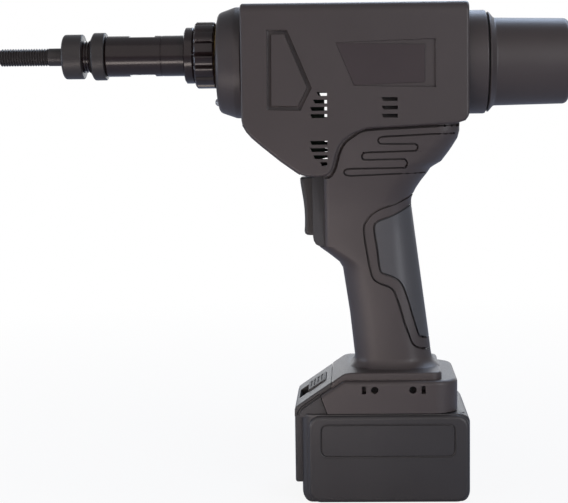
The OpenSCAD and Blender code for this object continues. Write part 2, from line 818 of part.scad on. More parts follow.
// A thin plate let into the chin's sloping underside
module chin_plate_form(d) {
    a = chin_pt(chin_plate_shares[0]);
    b = chin_pt(chin_plate_shares[1]);
    run = b - a;
    len_ab = norm(run);
    tilt = atan2(run[1], run[0]);
    translate([a[0], 0, a[1]]) rotate([0, -tilt, 0])
        box(-d, len_ab + d, -chin_plate_w / 2 - d, chin_plate_w / 2 + d, -chin_plate_t / 2,
            chin_plate_t / 2 + d);
}
function chin_pt(s) = [x_front + s * chin_len,
    body_low - chin_drop * (chin_shares[3][1] + (chin_shares[4][1] - chin_shares[3][1])
        * (s - chin_shares[3][0]) / (chin_shares[4][0] - chin_shares[3][0]))];
module chin_plate() color("black") chin_plate_form(0);

module side_plate(side) color("dimgray") {
    y = side * (body_w / 2 - recess_d);
    sideways(side < 0 ? y - side_plate_t : y, side < 0 ? y : y + side_plate_t) polygon(plate_pts(seat_gap));
}
module left_side_plate() side_plate(-1);
module right_side_plate() side_plate(1);

// The nose, from the body forwards
boss_edge_r = 3;
module front_boss() color("black") difference() {
    turned(boss_z, concat([[0, x_boss]], arc([boss_front_d / 2 - boss_edge_r, x_boss + boss_edge_r],
        boss_edge_r, 270, 360),
        [[boss_d / 2, x_front], [0, x_front]]));
    rod(x_boss - over, x_front + over, spindle_z, barrel_d + 2 * seat_gap);
    rod(x_boss - over, x_boss + lamp_len, boss_z - lamp_drop, lamp_d + 2 * seat_gap);
    translate([0, 0, boss_z - lamp_drop]) box(x_boss + lamp_len - over, x_front + over,
        -lamp_board_w / 2 - seat_gap, lamp_board_w / 2 + seat_gap, -lamp_board_w / 2 - seat_gap,
            lamp_board_w / 2 + seat_gap);
}
module lamp_lens() color("white", 0.6) {
    rod(x_boss - lamp_out, x_boss + lamp_len, boss_z - lamp_drop, lamp_d);
    translate([x_boss - lamp_out, 0, boss_z - lamp_drop]) intersection() {
        sphere(d = lamp_d);
        box(-far, over, -far, far, -far, far);
    }
}
module lamp_board() color("green") translate([0, 0, boss_z - lamp_drop])
    box(x_boss + lamp_len, x_boss + lamp_len + lamp_board_t, -lamp_board_w / 2, lamp_board_w / 2,
        -lamp_board_w / 2, lamp_board_w / 2);
nose_bore = barrel_d + 2 * run_gap;
module trim_ring() color("goldenrod") tube(x_trim, x_boss, spindle_z, trim_d, nose_bore);
collar_edge = 1;
collar_d = barrel_d + 2 * collar_h;
flute_d = 1.1;
collar_root = collar_d / 2 - flute_d;
lobe_share = 0.34;
lobe_r = lobe_share * PI * collar_d / collar_lobes;
module stroke_collar() color("black") difference() {
    union() {
        turned(spindle_z, [[0, x_collar + run_gap], [collar_root - collar_edge, x_collar + run_gap],
            [collar_root, x_collar + collar_edge], [collar_root, x_trim - collar_edge],
            [collar_root - collar_edge, x_trim - run_gap], [0, x_trim - run_gap]]);
        for (i = [0:collar_lobes - 1]) translate([0, 0, spindle_z]) rotate([360 * i / collar_lobes, 0, 0])
            rod(x_collar + collar_edge, x_trim - collar_edge, collar_d / 2 - lobe_r, 2 * lobe_r);
    }
    rod(x_collar - over, x_trim + over, spindle_z, nose_bore);
}
lock_edge = 0.8;
module lock_ring() color("black") difference() {
    turned(spindle_z, [[0, x_lock], [lock_d / 2 - lock_edge, x_lock], [lock_d / 2, x_lock + lock_edge],
        [lock_d / 2, x_collar - lock_edge], [lock_d / 2 - lock_edge, x_collar], [0, x_collar]]);
    rod(x_lock - over, x_collar + over, spindle_z, nose_bore);
}
barrel_edge = 0.6;
spindle_bore = spindle_d + 2 * run_gap;
flat_share = 0.3;
module nose_barrel() color("black") difference() {
    union() {
        rod(x_neck, x_barrel, spindle_z, neck_d);
        turned(spindle_z, [[0, x_barrel], [barrel_d / 2 - barrel_edge, x_barrel],
            [barrel_d / 2, x_barrel + barrel_edge],
            [barrel_d / 2, x_front], [0, x_front]]);
        rod(x_front, x_flange, spindle_z, barrel_flange_d);
    }
    rod(x_neck - over, x_flange + over, spindle_z, spindle_bore);
    x = x_barrel + flat_share * barrel_len;
    for (e = [-1, 1]) translate([0, 0, spindle_z + e * (flat_w + barrel_d) / 2])
        box(x, x + flat_len, -barrel_d, barrel_d, -barrel_d / 2, barrel_d / 2);
    key_form(seat_gap);
}
module key_form(d) translate([0, 0, spindle_z + spindle_d / 2 - key_in])
    box(x_key - d, x_key + key_len + d, -key_w / 2 - d, key_w / 2 + d, 0, key_h + d);
module guide_key() color("gray") key_form(0);
jam_edge = 2;
module jam_nut() color("black") difference() {
    x_end = x_barrel - run_gap;
    turned(spindle_z, [[0, x_jam], [jam_d / 2 - jam_edge, x_jam], [jam_d / 2, x_jam + jam_edge],
        [jam_d / 2, x_end - barrel_edge], [jam_d / 2 - barrel_edge, x_end], [0, x_end]]);
    rod(x_jam - over, x_barrel + over, spindle_z, neck_d + 2 * run_gap);
}
module anvil() color("black") difference() {
    turned(spindle_z, concat([[0, x_anvil]], arc([anvil_d / 2 - anvil_r, x_anvil + anvil_r], anvil_r,
        270, 360),
        [[anvil_d / 2, x_anvil_rear - barrel_edge], [anvil_d / 2 - barrel_edge, x_anvil_rear],
            [0, x_anvil_rear]]));
    rod(x_anvil - over, x_anvil_rear + over, spindle_z, mandrel_d + 2 * anvil_bore_play);
    rod(x_neck - free_gap, x_anvil_rear + over, spindle_z, neck_d + 2 * run_gap);
}
thread_depth_share = 0.6;
crest_share = 0.2;
shank_relief = 0.6;
relief_set = 0.5;
module mandrel() color("black") {
    r = mandrel_d / 2;
    root = r - thread_depth_share * thread_pitch;
    turns = floor(thread_len / thread_pitch);
    x0 = x_shank - turns * thread_pitch;
    ridges = [for (i = [0:turns - 1]) let (x = x0 + i * thread_pitch) each [[root, x],
        [r, x + (0.5 - crest_share / 2) * thread_pitch], [r, x + (0.5 + crest_share / 2) * thread_pitch]]];
    turned(spindle_z, concat([[0, x_tip], [root, x_tip]], ridges,
        [[root, x_shank], [r, x_shank + r - root], [r, x_anvil - relief_set],
        [r - shank_relief, x_anvil - relief_set + shank_relief], [r - shank_relief, x_shoulder],
            [tail_d / 2, x_shoulder], [tail_d / 2, x_shoulder + tail_len], [0, x_shoulder + tail_len]]));
}
module draw_spindle() color("silver") difference() {
    r = spindle_d / 2;
    turns = floor((x_spindle_rear - x_nut) / screw_lead);
    x0 = x_spindle_rear - turns * screw_lead;
    grooves = [for (i = [0:turns - 1]) let (x = x0 + i * screw_lead) each [[r, x + screw_lead / 4],
        [r - screw_groove_d, x + screw_lead / 2], [r, x + 3 * screw_lead / 4]]];
    turned(spindle_z, concat([[0, x_spindle], [r, x_spindle]], grooves,
        [[r, x_spindle_rear], [0, x_spindle_rear]]));
    rod(x_spindle - over, x_shoulder + tail_len + free_gap, spindle_z, tail_d + 2 * run_gap);
    translate([0, 0, spindle_z + spindle_d / 2 - key_in - key_play])
        box(x_key - stroke - free_gap, x_key + key_len + key_play, -key_w / 2 - key_play,
            key_w / 2 + key_play, 0, spindle_d);
}

// The drive: a geared nut on a thrust bearing draws the spindle back
module gear_housing() color("lightgray") tube(x_front, x_plate, spindle_z, housing_d,
    housing_d - 2 * housing_wall);
module race(x0, x1, gap) tube(x0, x1, spindle_z, nut_flange_d, spindle_d + 2 * gap);
ball_orbit = (nut_flange_d + spindle_d) / 4;
module thrust_front_race() color("silver") race(x_flange, x_race, free_gap);
module thrust_balls() color("silver") {
    ball_ring(x_race + ball_d / 2, spindle_z, ball_orbit, ball_d - 2 * run_gap, ball_n);
    tube(x_race + ball_d / 4, x_balls - ball_d / 4, spindle_z, 2 * ball_orbit + ball_d / 2,
        2 * ball_orbit - ball_d / 2);
}
module thrust_rear_race() color("silver") race(x_balls, x_nut, free_gap);
module nut_bearing() color("silver") tube(x_bearing, x_bearing + bearing_w, spindle_z,
    housing_d - 2 * housing_wall - 2 * seat_gap, hub_d + 2 * run_gap);
module drive_nut() color("silver") difference() {
    union() {
        rod(x_nut, x_hub, spindle_z, nut_flange_d);
        rod(x_hub, x_cup + cup_floor, spindle_z, hub_d);
        rod(x_cup, x_cup_end, spindle_z, 2 * cup_r);
    }
    rod(x_nut - over, x_cup + cup_floor + over, spindle_z, spindle_bore);
    across(x_cup + cup_floor, x_cup_end + over, spindle_z) rotate(-90) inner_gear(nut_teeth, nut_module);
}
module gearbox_plate() color("lightgray") difference() {
    union() {
        rod(x_plate, x_ring, spindle_z, housing_d);
        rod(x_plate, x_ring, motor_z, motor_d);
    }
    rod(x_plate - over, x_ring + over, motor_z, carrier_bearing_d + 2 * seat_gap);
}
module carrier_bearing() color("goldenrod")
    tube(x_plate, x_ring, motor_z, carrier_bearing_d, carrier_shaft_d + 2 * run_gap);
module planet_places() for (i = [0:planet_n - 1])
    translate([0, 0, motor_z]) rotate([360 * i / planet_n, 0, 0]) translate([0, 0, planet_orbit]) children();
module planet_carrier() color("silver") {
    rod(x_pinion + pinion_len, x_carrier, motor_z, carrier_shaft_d);
    across(x_pinion, x_pinion + pinion_len, motor_z) rotate(-90) spur(pinion_teeth, nut_module);
    rod(x_carrier, x_carrier + carrier_t, motor_z, carrier_d);
    planet_places() rod(x_carrier + carrier_t - over, x_planet_end + planet_pin_out, 0, planet_pin_d);
}
module planet_gear(i) color("gray") translate([0, 0, motor_z]) rotate([360 * i / planet_n, 0, 0])
    difference() {
    across(x_planets, x_planet_end, planet_orbit) rotate(90) spur(planet_teeth, planet_module);
    rod(x_planets - over, x_planet_end + over, planet_orbit, planet_pin_d + 2 * run_gap);
}
module planet_gear_1() planet_gear(0);
module planet_gear_2() planet_gear(1);
module planet_gear_3() planet_gear(2);
module ring_gear() color("gray") difference() {
    rod(x_ring, x_motor_plate, motor_z, ring_d);
    across(x_ring - over, x_motor_plate + over, motor_z) rotate(90) inner_gear(ring_teeth, planet_module);
}

// The motor
module motor_plate(x0, x1) color("lightgray") tube(x0, x1, motor_z, motor_d, motor_bearing_d + 2 * seat_gap);
module motor_bearing(x0, x1) color("silver") tube(x0, x1, motor_z, motor_bearing_d, shaft_d + 2 * run_gap);
module motor_front_plate() motor_plate(x_motor_plate, x_can);
module motor_rear_plate() motor_plate(x_can_end, x_motor_end);
module motor_front_bearing() motor_bearing(x_motor_plate, x_can);
module motor_rear_bearing() motor_bearing(x_can_end, x_motor_end);
module motor_can() color("silver") tube(x_can, x_can_end, motor_z, motor_d, motor_d - 2 * can_wall);
module motor_stator() color("darkred") tube(x_can + stator_set, x_can_end - stator_set, motor_z,
    motor_d - 2 * can_wall - 2 * seat_gap, rotor_d + 2 * stator_gap);
module rotor_shaft() color("silver") {
    rod(x_planet_end + sun_set, x_shaft_end, motor_z, shaft_d);
    across(x_planets + sun_set, x_planet_end + sun_set, motor_z) rotate(90) spur(sun_teeth, planet_module);
}
module rotor_core() color("dimgray") tube(x_can + rotor_set, x_can_end - rotor_set, motor_z, rotor_d,
    shaft_d + 2 * seat_gap);
module cooling_fan() color("black") difference() {
    union() {
        rod(x_fan, x_fan + fan_len, motor_z, fan_hub_d);
        rod(x_fan + blade_set, x_fan + blade_set + blade_t, motor_z, fan_d - 2 * blade_t);
        for (i = [0:fan_blades - 1]) translate([x_fan, 0, motor_z]) rotate([360 * i / fan_blades, 0, 0])
            box(blade_set, fan_len - blade_set, -blade_t / 2, blade_t / 2, fan_hub_d / 2 - blade_t,
                fan_d / 2);
    }
    rod(x_fan - over, x_fan + fan_len + over, motor_z, shaft_d + 2 * seat_gap);
}

// The rear end
rear_edge = 1;
motor_bore = motor_d + 2 * motor_bore_gap;
fan_d = motor_bore - 2 * fan_gap;
module rear_collar() color("dimgray") difference() {
    turned(motor_z, [[0, x_rear], [rear_collar_d / 2, x_rear], [rear_collar_d / 2, x_collar_end - rear_edge],
        [rear_collar_d / 2 - rear_edge, x_collar_end], [0, x_collar_end]]);
    rod(x_rear - over, x_collar_end + over, motor_z, motor_bore);
}
module rear_seal() color("black") tube(x_collar_end, x_seal_end, motor_z, rear_collar_d - 2 * seal_in,
    motor_bore);
module rear_cap() color("dimgray") difference() {
    turned(motor_z, concat([[0, x_seal_end], [rear_collar_d / 2 - rear_edge, x_seal_end],
        [cap_d / 2, x_cap]], arc([cap_end_d / 2 - cap_r, x_cap_end - cap_r], cap_r, 0, 90),
            [[0, x_cap_end]]));
    rod(x_seal_end - over, x_cap_end - cap_floor, motor_z, motor_bore);
}

// The trigger and the switch behind it
bezel_mid = bezel_top - bezel_h / 2;
module bezel_hole() box(x_bezel - over, bezel_x + bezel_tab + seat_gap, -bezel_w / 2 + bezel_wall - seat_gap,
    bezel_w / 2 - bezel_wall + seat_gap, bezel_mid - bezel_h / 2 + bezel_wall - seat_gap,
    bezel_mid + bezel_h / 2 - bezel_wall + seat_gap);
module trigger_bezel() color("gray") difference() {
    union() {
        sideways(-bezel_w / 2, bezel_w / 2) polygon([[x_bezel, bezel_top], [bezel_x, bezel_top],
            [bezel_x, bezel_top - bezel_h], [x_bezel + bezel_r / 2, bezel_top - bezel_h + bezel_r / 2],
            [x_bezel, bezel_top - bezel_h + bezel_r]]);
        box(bezel_x, bezel_x + bezel_tab, -bezel_w / 2 + bezel_wall, bezel_w / 2 - bezel_wall,
            bezel_mid - bezel_h / 2 + bezel_wall, bezel_mid + bezel_h / 2 - bezel_wall);
    }
    trigger_block(free_gap, bezel_tab + bezel_d + trigger_travel);
}
trigger_top = bezel_top - trigger_top_set;
module trigger_block(d, l) box(x_trigger - over, x_trigger_rear + l, -trigger_w / 2 - d, trigger_w / 2 + d,
    trigger_top - trigger_h - d, trigger_top + d);
module trigger() color("black") difference() {
    box(x_trigger, x_trigger_rear, -trigger_w / 2, trigger_w / 2, trigger_top - trigger_h, trigger_top);
    translate([x_trigger - trigger_scoop_r + trigger_scoop, 0, trigger_top - trigger_h / 2])
        rotate([90, 0, 0])
        cylinder(h = far, r = trigger_scoop_r, center = true);
    rod(x_trigger_rear - trigger_pocket, x_trigger_rear + over, bezel_mid, spring_d + 2 * free_gap);
}
module trigger_spring() color("silver") translate([0, 0, bezel_mid])
    coil(x_trigger_rear - trigger_pocket + run_gap, x_switch - run_gap, spring_d, spring_wire, spring_turns);
module switch_form(d) box(x_switch - d, x_switch + switch_len + d, -switch_w / 2 - d, switch_w / 2 + d,
    bezel_mid - switch_h / 2 - d, bezel_mid + switch_h / 2 + d);
module switch_body() color("black") switch_form(0);
module board_slot() {
    x = x_front + board_set;
    z = body_low - board_low_set;
    box(x - seat_gap, x + board_l + seat_gap, -board_t / 2 - seat_gap, board_t / 2 + seat_gap, z,
        z + board_h + seat_gap);
    box(x + 2 * board_rail, x + board_l - 2 * board_rail, -board_chip_t - board_t, board_chip_t + board_t,
        z, z + board_h);
}
module control_board() color("green") {
    x = x_front + board_set;
    z = body_low - board_low_set;
    box(x, x + board_l, -board_t / 2, board_t / 2, z + seat_gap, z + board_h);
    for (k = [0:board_chips - 1]) box(x + 3 * board_rail, x + board_l - 3 * board_rail, 0,
        board_t / 2 + board_chip_t,
        z + board_rail + k * board_h / board_chips, z + (k + 1) * board_h / board_chips - board_rail);
}
module terminal_block() color("black") {
    block_pocket_in();
    for (e = [-1, 1]) box(x_block + block_h, x_block + block_h + blade_l, e * blade_gap / 2 - blade_w / 2,
        e * blade_gap / 2 + blade_w / 2, bay_top - blade_drop, bay_top + over);
}
module block_pocket_in() box(x_block, x_block + block_l, -block_w / 2, block_w / 2, bay_top,
    bay_top + block_h);
module shell_screws() color("gray") for (p = screw_places()) {
    sideways(screw_head_y - screw_len, screw_head_y) translate(p) circle(d = screw_d);
    sideways(screw_head_y, screw_head_y + screw_head_h) translate(p) circle(d = screw_head_d);
}
module foot_screws() color("gray") for (side = [-1, 1])
    foot_screw_places(side) translate([0, -side * foot_screw_l / 2, 0]) rotate([90, 0, 0])
        cylinder(h = foot_screw_l - 2 * seat_gap, d = foot_screw_d, center = true);

// The battery pack
function pack_plan(d) = let (x0 = x_pack_front + d, x1 = pack_back - d, w = pack_w / 2 - d, r = pack_r - d)
    concat(arc([x1 - r, w - r], r, 0, 90), arc([x0 + r, w - r], r, 90, 180),
        arc([x0 + r, -w + r], r, 180, 270), arc([x1 - r, -w + r], r, 270, 360));
panel_r = 5;
module panel_outline(l, z0, z1, r) translate([0, (z0 + z1) / 2]) polygon(concat(
    arc([l / 2 - r, (z1 - z0) / 2 - r], r, 0, 90), arc([-l / 2 + r, (z1 - z0) / 2 - r], r, 90, 180),
    arc([-l / 2 + r, -(z1 - z0) / 2 + r], r, 180, 270), arc([l / 2 - r, -(z1 - z0) / 2 + r], r, 270, 360)));
panel_top_set = 1.4;
label_top_set = 5;
label_r = 3.5;
module case_posts() for (e = [-1, 1]) for (s = [-1, 1])
    translate([(x_pack_front + pack_back) / 2 + e * (pack_len / 2 - pack_post_set),
        s * (pack_w / 2 - pack_post_set), 0])
        children();
board_room = 6.4;
board_z = pack_h - board_room;
module battery_case() color("darkslategray") difference() {
    union() {
        linear_extrude(pack_h) polygon(pack_plan(0));
        for (e = [-1, 1]) sideways(e < 0 ? -pack_w / 2 - pack_panel_t : pack_w / 2 - over,
            e < 0 ? -pack_w / 2 + over : pack_w / 2 + pack_panel_t)
            panel_outline(pack_panel_l, 0, pack_h + panel_top_set, panel_r);
    }
    difference() {
        translate([0, 0, pack_wall]) linear_extrude(pack_h) polygon(pack_plan(pack_wall));
        case_posts() translate([0, 0, -over]) cylinder(h = board_z + over, d = post_d);
    }
    case_posts() translate([0, 0, pack_h - pack_screw_l])
        cylinder(h = pack_h, d = pack_screw_d + 2 * pilot_gap);
    translate([0, 0, pack_h]) linear_extrude(pack_h) polygon(pack_plan(-seat_gap));
    for (e = [-1, 1]) sideways(e < 0 ? -far : pack_w / 2 + pack_panel_t - label_d,
        e < 0 ? -pack_w / 2 - pack_panel_t + label_d : far)
        panel_outline(label_l, pack_h - label_top_set - label_h + panel_top_set,
            pack_h - label_top_set + panel_top_set, label_r);
}
// The cover closes the case; its riser carries the release button and its tower slides into the foot
riser_low = pack_h;
x_riser_rear = -foot_front - riser_gap;
riser_top = foot_mid;
riser_corner = [x_apron, riser_top - (x_riser_rear - x_apron - riser_front_up) * tan(riser_slope)];
module riser_outline() polygon([[x_apron, riser_low - over], [x_apron, riser_corner[1] - riser_front_up],
    [x_apron + riser_front_up, riser_corner[1]], [x_riser_rear, riser_top],
    [x_riser_rear + foot_slope_set, riser_low + lid_t], [x_riser_rear + foot_slope_set, riser_low - over]]);
x_tower_rear = x_bay_rear - tower_rear_gap;
x_tower = -foot_front + tower_front_set;
module battery_cover() color("darkslategray") difference() {
    union() {
        translate([0, 0, pack_h]) linear_extrude(lid_t) polygon(pack_plan(0));
        intersection() {
            sideways(-riser_w / 2, riser_w / 2) riser_outline();
            box(-far, far, -far, far, pack_h, far);
        }
        box(x_apron, x_pack_front - seat_gap, -apron_w / 2, apron_w / 2, apron_low, pack_h + lid_t);
        tower_slice(bay_w / 2 - rail_w - tower_gap, pack_h + lid_t / 2);
        tower_slice(bay_w / 2 - tower_gap, foot_low + rail_h + tower_gap);
    }
    tower_hollow();
    case_posts() {
        translate([0, 0, pack_h - over]) cylinder(h = lid_t + 2 * over, d = pack_screw_d + 2 * free_gap);
        translate([0, 0, pack_h + lid_t - pack_screw_head_h])
            cylinder(h = lid_t, d = pack_screw_head_d + 2 * free_gap);
    }
    for (e = [-1, 1]) box(x_block - slot_gap, far, e * blade_gap / 2 - blade_w / 2 - slot_gap,
        e * blade_gap / 2 + blade_w / 2 + slot_gap, bay_top - blade_drop - slot_gap, far);
    release_place() {
        box(-release_l / 2 - free_gap, release_l / 2 + free_gap, -release_w / 2 - free_gap,
            release_w / 2 + free_gap,
            -release_t - release_travel - free_gap, far);
        box(-release_l / 2 - finger_l, -release_l / 2, -release_w / 2, release_w / 2, -finger_d, far);
    }
}
// Half width w, from height z to the top of the bay, with its front on the riser's slope
module tower_slice(w, z) sideways(-w, w) polygon([[x_riser_rear, z], [x_riser_rear, riser_top],
    [x_riser_rear + (bay_top - tower_gap - riser_top) / tan(slope_tilt), bay_top - tower_gap],
    [x_tower_rear, bay_top - tower_gap], [x_tower_rear, z]]);
module tower_hollow() {
    y = bay_w / 2 - rail_w - tower_gap - tower_wall;
    box(x_tower + tower_wall, x_tower_rear - tower_wall, -y, y, pack_h - over,
        bay_top - blade_drop - slot_gap - tower_wall);
}
// The release button's own frame: its outer face lies on the slope, X runs up the slope
slope_run = [x_riser_rear - riser_corner[0] - riser_front_up, riser_top - riser_corner[1]];
slope_tilt = atan2(slope_run[1], slope_run[0]);
module release_place() translate([x_apron + release_set, 0,
    riser_corner[1] + (release_set - riser_front_up) * slope_run[1] / slope_run[0]])
        rotate([0, -slope_tilt, 0]) children();
module release_button() color("black") release_place()
    box(-release_l / 2, release_l / 2, -release_w / 2, release_w / 2, -release_t, release_lip);
module release_spring() color("silver") release_place() rotate([0, 90, 0])
    coil(release_t + run_gap, release_t + release_travel + free_gap - run_gap, release_spring_d,
        spring_wire, release_turns);
cell_pitch = cell_d + cell_gap;
cell_low = pack_wall + cell_rib + cell_d / 2;
cell_nest = 60;
cell_rise = cell_pitch * sin(cell_nest);
// Each cell's place, as shares of the pitch and of the rise
cell_shares = [[-1, 0], [0, 0], [1, 0], [-0.5, 1], [0.5, 1]];
module battery_cells() color("royalblue") for (s = cell_shares)
    translate([s[0] * cell_pitch, 0, cell_low + s[1] * cell_rise]) rotate([90, 0, 0])
        cylinder(h = cell_len, d = cell_d, center = true);
module battery_board() color("green") difference() {
    translate([0, 0, board_z + seat_gap]) linear_extrude(pack_board_t)
        polygon(pack_plan(pack_wall + free_gap));
    case_posts() translate([0, 0, board_z - over]) cylinder(h = far, d = pack_screw_d + 2 * free_gap);
}
x_contact = x_tower_rear - tower_wall - contact_set - contact_l;
module battery_contacts() color("goldenrod") for (e = [-1, 1])
    box(x_contact, x_contact + contact_l, e * blade_gap / 2 - contact_w - blade_w,
        e * blade_gap / 2 - blade_w,
        board_z + pack_board_t + seat_gap, board_z + pack_board_t + contact_h);
module battery_screws() color("gray") case_posts() {
    translate([0, 0, pack_h + lid_t - pack_screw_l]) cylinder(h = pack_screw_l, d = pack_screw_d);
    translate([0, 0, pack_h + lid_t - pack_screw_head_h + seat_gap])
        cylinder(h = pack_screw_head_h - 2 * seat_gap, d = pack_screw_head_d);
}

left_shell();
right_shell();
left_palm_pad();
right_palm_pad();
chin_plate();
left_side_plate();
right_side_plate();
front_boss();
lamp_lens();
lamp_board();
trim_ring();
stroke_collar();
lock_ring();
nose_barrel();
jam_nut();
anvil();
mandrel();
draw_spindle();
guide_key();
gear_housing();
thrust_front_race();
thrust_balls();
thrust_rear_race();
nut_bearing();
drive_nut();
gearbox_plate();
carrier_bearing();
planet_carrier();
planet_gear_1();
planet_gear_2();
planet_gear_3();
ring_gear();
motor_front_plate();
motor_front_bearing();
motor_can();
motor_stator();
rotor_shaft();
rotor_core();
cooling_fan();
motor_rear_bearing();
motor_rear_plate();
rear_collar();
rear_seal();
rear_cap();
trigger();
trigger_bezel();
trigger_spring();
switch_body();
control_board();
terminal_block();
shell_screws();
foot_screws();
battery_case();
battery_cover();
battery_cells();
battery_board();
battery_contacts();
release_button();
release_spring();
battery_screws();
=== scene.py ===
# %% [markdown]
# # A battery rivet nut tool
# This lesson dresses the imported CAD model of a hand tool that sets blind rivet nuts. The CAD solids stay as the
# frame, hidden where a finer piece stands for them. Each new piece is modelled in millimetres, which are easy to
# read beside a drawing, and is brought down to metres as its last step.

# %% Load the frame
import json
import math
import bpy
from mathutils import Matrix, Vector
from mathutils.bvhtree import BVHTree


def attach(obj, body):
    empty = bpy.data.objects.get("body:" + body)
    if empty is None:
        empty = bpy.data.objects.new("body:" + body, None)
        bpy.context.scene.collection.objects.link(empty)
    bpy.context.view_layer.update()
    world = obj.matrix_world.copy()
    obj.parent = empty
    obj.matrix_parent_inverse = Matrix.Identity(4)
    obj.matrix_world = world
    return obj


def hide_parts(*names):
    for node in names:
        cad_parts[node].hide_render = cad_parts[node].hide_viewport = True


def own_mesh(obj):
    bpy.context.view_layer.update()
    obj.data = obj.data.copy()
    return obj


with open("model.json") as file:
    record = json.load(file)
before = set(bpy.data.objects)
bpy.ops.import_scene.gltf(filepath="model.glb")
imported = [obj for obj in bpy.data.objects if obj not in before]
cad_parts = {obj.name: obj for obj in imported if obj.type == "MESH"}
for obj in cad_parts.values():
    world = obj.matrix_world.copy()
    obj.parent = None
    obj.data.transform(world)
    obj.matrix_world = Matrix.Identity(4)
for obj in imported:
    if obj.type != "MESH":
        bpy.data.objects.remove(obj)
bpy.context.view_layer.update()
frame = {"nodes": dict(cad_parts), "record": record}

# %% [markdown]
# ## Helpers for modelling by operator
# Blender's operators act on whatever is selected, and the loaded nodes are all selected. So each helper first
# deselects everything and then opens one piece. The same few helpers serve every piece of the tool: a filled outline
# that is extruded, a profile that is spun, a bevel on chosen edges, and a Boolean cut.

# %% Select and edit one piece
def nothing_selected():
    if bpy.context.object and bpy.context.object.mode != "OBJECT":
        bpy.ops.object.mode_set(mode="OBJECT")
    bpy.ops.object.select_all(action="DESELECT")


def named(name):
    """Name the piece that an operator has just made."""
    piece = bpy.context.object
    piece.name = name
    return piece


def discard(piece):
    bpy.data.objects.remove(piece, do_unlink=True)


def only(piece):
    nothing_selected()
    piece.select_set(True)
    bpy.context.view_layer.objects.active = piece


def edit(piece):
    only(piece)
    bpy.ops.object.mode_set(mode="EDIT")
    bpy.ops.mesh.select_all(action="SELECT")


def close():
    bpy.ops.object.mode_set(mode="OBJECT")


def settle(piece):
    """Put the object's place, turn and scale into its mesh."""
    only(piece)
    bpy.ops.object.transform_apply(location=True, rotation=True, scale=True)


def tidy_skin(piece, merge=0.002):
    edit(piece)
    bpy.ops.mesh.remove_doubles(threshold=merge)
    bpy.ops.mesh.delete_loose()
    bpy.ops.mesh.select_all(action="SELECT")
    bpy.ops.mesh.normals_make_consistent(inside=False)
    close()


# %% A loop of points, and a filled outline that is extruded
def loop(name, corners, fill="NOTHING"):
    nothing_selected()
    bpy.ops.mesh.primitive_circle_add(vertices=len(corners), radius=1, fill_type=fill)
    piece = named(name)
    for vertex, corner in zip(piece.data.vertices, corners):
        vertex.co = corner
    return piece


def slab(name, corners, shift):
    piece = loop(name, corners, "NGON")
    edit(piece)
    bpy.ops.mesh.extrude_region_move(TRANSFORM_OT_translate={"value": shift})
    bpy.ops.mesh.select_all(action="SELECT")
    bpy.ops.mesh.normals_make_consistent(inside=False)
    close()
    return piece


def side_slab(name, corners, y0, y1):
    return slab(name, [(x, y0, z) for x, z in corners], (0, y1 - y0, 0))


def block(name, low, high):
    corners = [(low[0], low[2]), (high[0], low[2]), (high[0], high[2]), (low[0], high[2])]
    return side_slab(name, corners, low[1], high[1])


# %% A bevel on the edges that lie where we say
def choose(piece, kind, wanted):
    """Open a piece with only those edges or faces selected that pass a test."""
    edit(piece)
    bpy.ops.mesh.select_mode(type=kind)
    bpy.ops.mesh.select_all(action="DESELECT")
    close()
    for item in piece.data.edges if kind == "EDGE" else piece.data.polygons:
        item.select = bool(wanted(item))
    bpy.ops.object.mode_set(mode="EDIT")


def bevel(piece, wanted, width, rings=3):
    """Round the edges whose two ends pass a test."""
    choose(piece, "EDGE", lambda edge: wanted(*(piece.data.vertices[i].co for i in edge.vertices)))
    bpy.ops.mesh.bevel(offset=width, segments=rings, affect="EDGES", clamp_overlap=True)
    close()


def near(value, target, slack=0.01):
    return abs(value - target) < slack


def at(axis, value):
    """A test for edges that lie in one plane."""
    return lambda a, b: near(getattr(a, axis), value) and near(getattr(b, axis), value)


def flank(a, b, half):
    """Whether an edge runs along the piece's left or right side."""
    return near(abs(a.y), half) and near(a.y, b.y)


# %% Join, cut and copy
def modify(piece, kind, **settings):
    """Add one modifier and apply it at once."""
    step = piece.modifiers.new("step", kind)
    for name, value in settings.items():
        setattr(step, name, value)
    only(piece)
    bpy.ops.object.modifier_apply(modifier=step.name)


def combine(piece, other, how="DIFFERENCE"):
    modify(piece, "BOOLEAN", operation=how, solver="MANIFOLD", object=other)
    discard(other)


def tell(what, piece):
    print(what, [round(v, 1) for v in piece.dimensions], len(piece.data.polygons), "faces")


def copy_of(piece, name):
    only(piece)
    bpy.ops.object.duplicate(linked=False)
    return named(name)


def mirrored(piece, name):
    twin = copy_of(piece, name)
    twin.scale = (1, -1, 1)
    settle(twin)
    edit(twin)
    bpy.ops.mesh.flip_normals()
    close()
    return twin


# %% A profile of (x, radius) corners, spun about the nose's direction
def turned(name, profile, height, steps=96):
    piece = loop(name, [(x, 0, height + radius) for x, radius in profile])
    edit(piece)
    bpy.ops.mesh.spin(steps=steps, angle=math.tau, center=(0, 0, height), axis=(1, 0, 0), use_auto_merge=True)
    close()
    tidy_skin(piece)
    return piece


def arc(x, y, radius, start, end, steps=5):
    """Points on an arc round (x, y), from one angle to another in degrees."""
    angles = [math.radians(start + (end - start) * i / steps) for i in range(steps + 1)]
    return [(x + radius * math.cos(a), y + radius * math.sin(a)) for a in angles]


# %% Finish a piece: metres, smooth shading, a material and a body to ride on
MM = 0.001


def finish_piece(piece, slot, node, body="housing", sharp=40, finish=None):
    piece.scale = (MM, MM, MM)
    settle(piece)
    bpy.ops.object.shade_smooth_by_angle(angle=math.radians(sharp))
    modify(piece, "WEIGHTED_NORMAL", keep_sharp=True)
    piece.data.materials.clear()
    piece.data.materials.append(finishes[finish or slot])
    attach(piece, body)
    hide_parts(node)
    print(piece.name, "rides on", body, "with", len(piece.data.polygons), "faces")


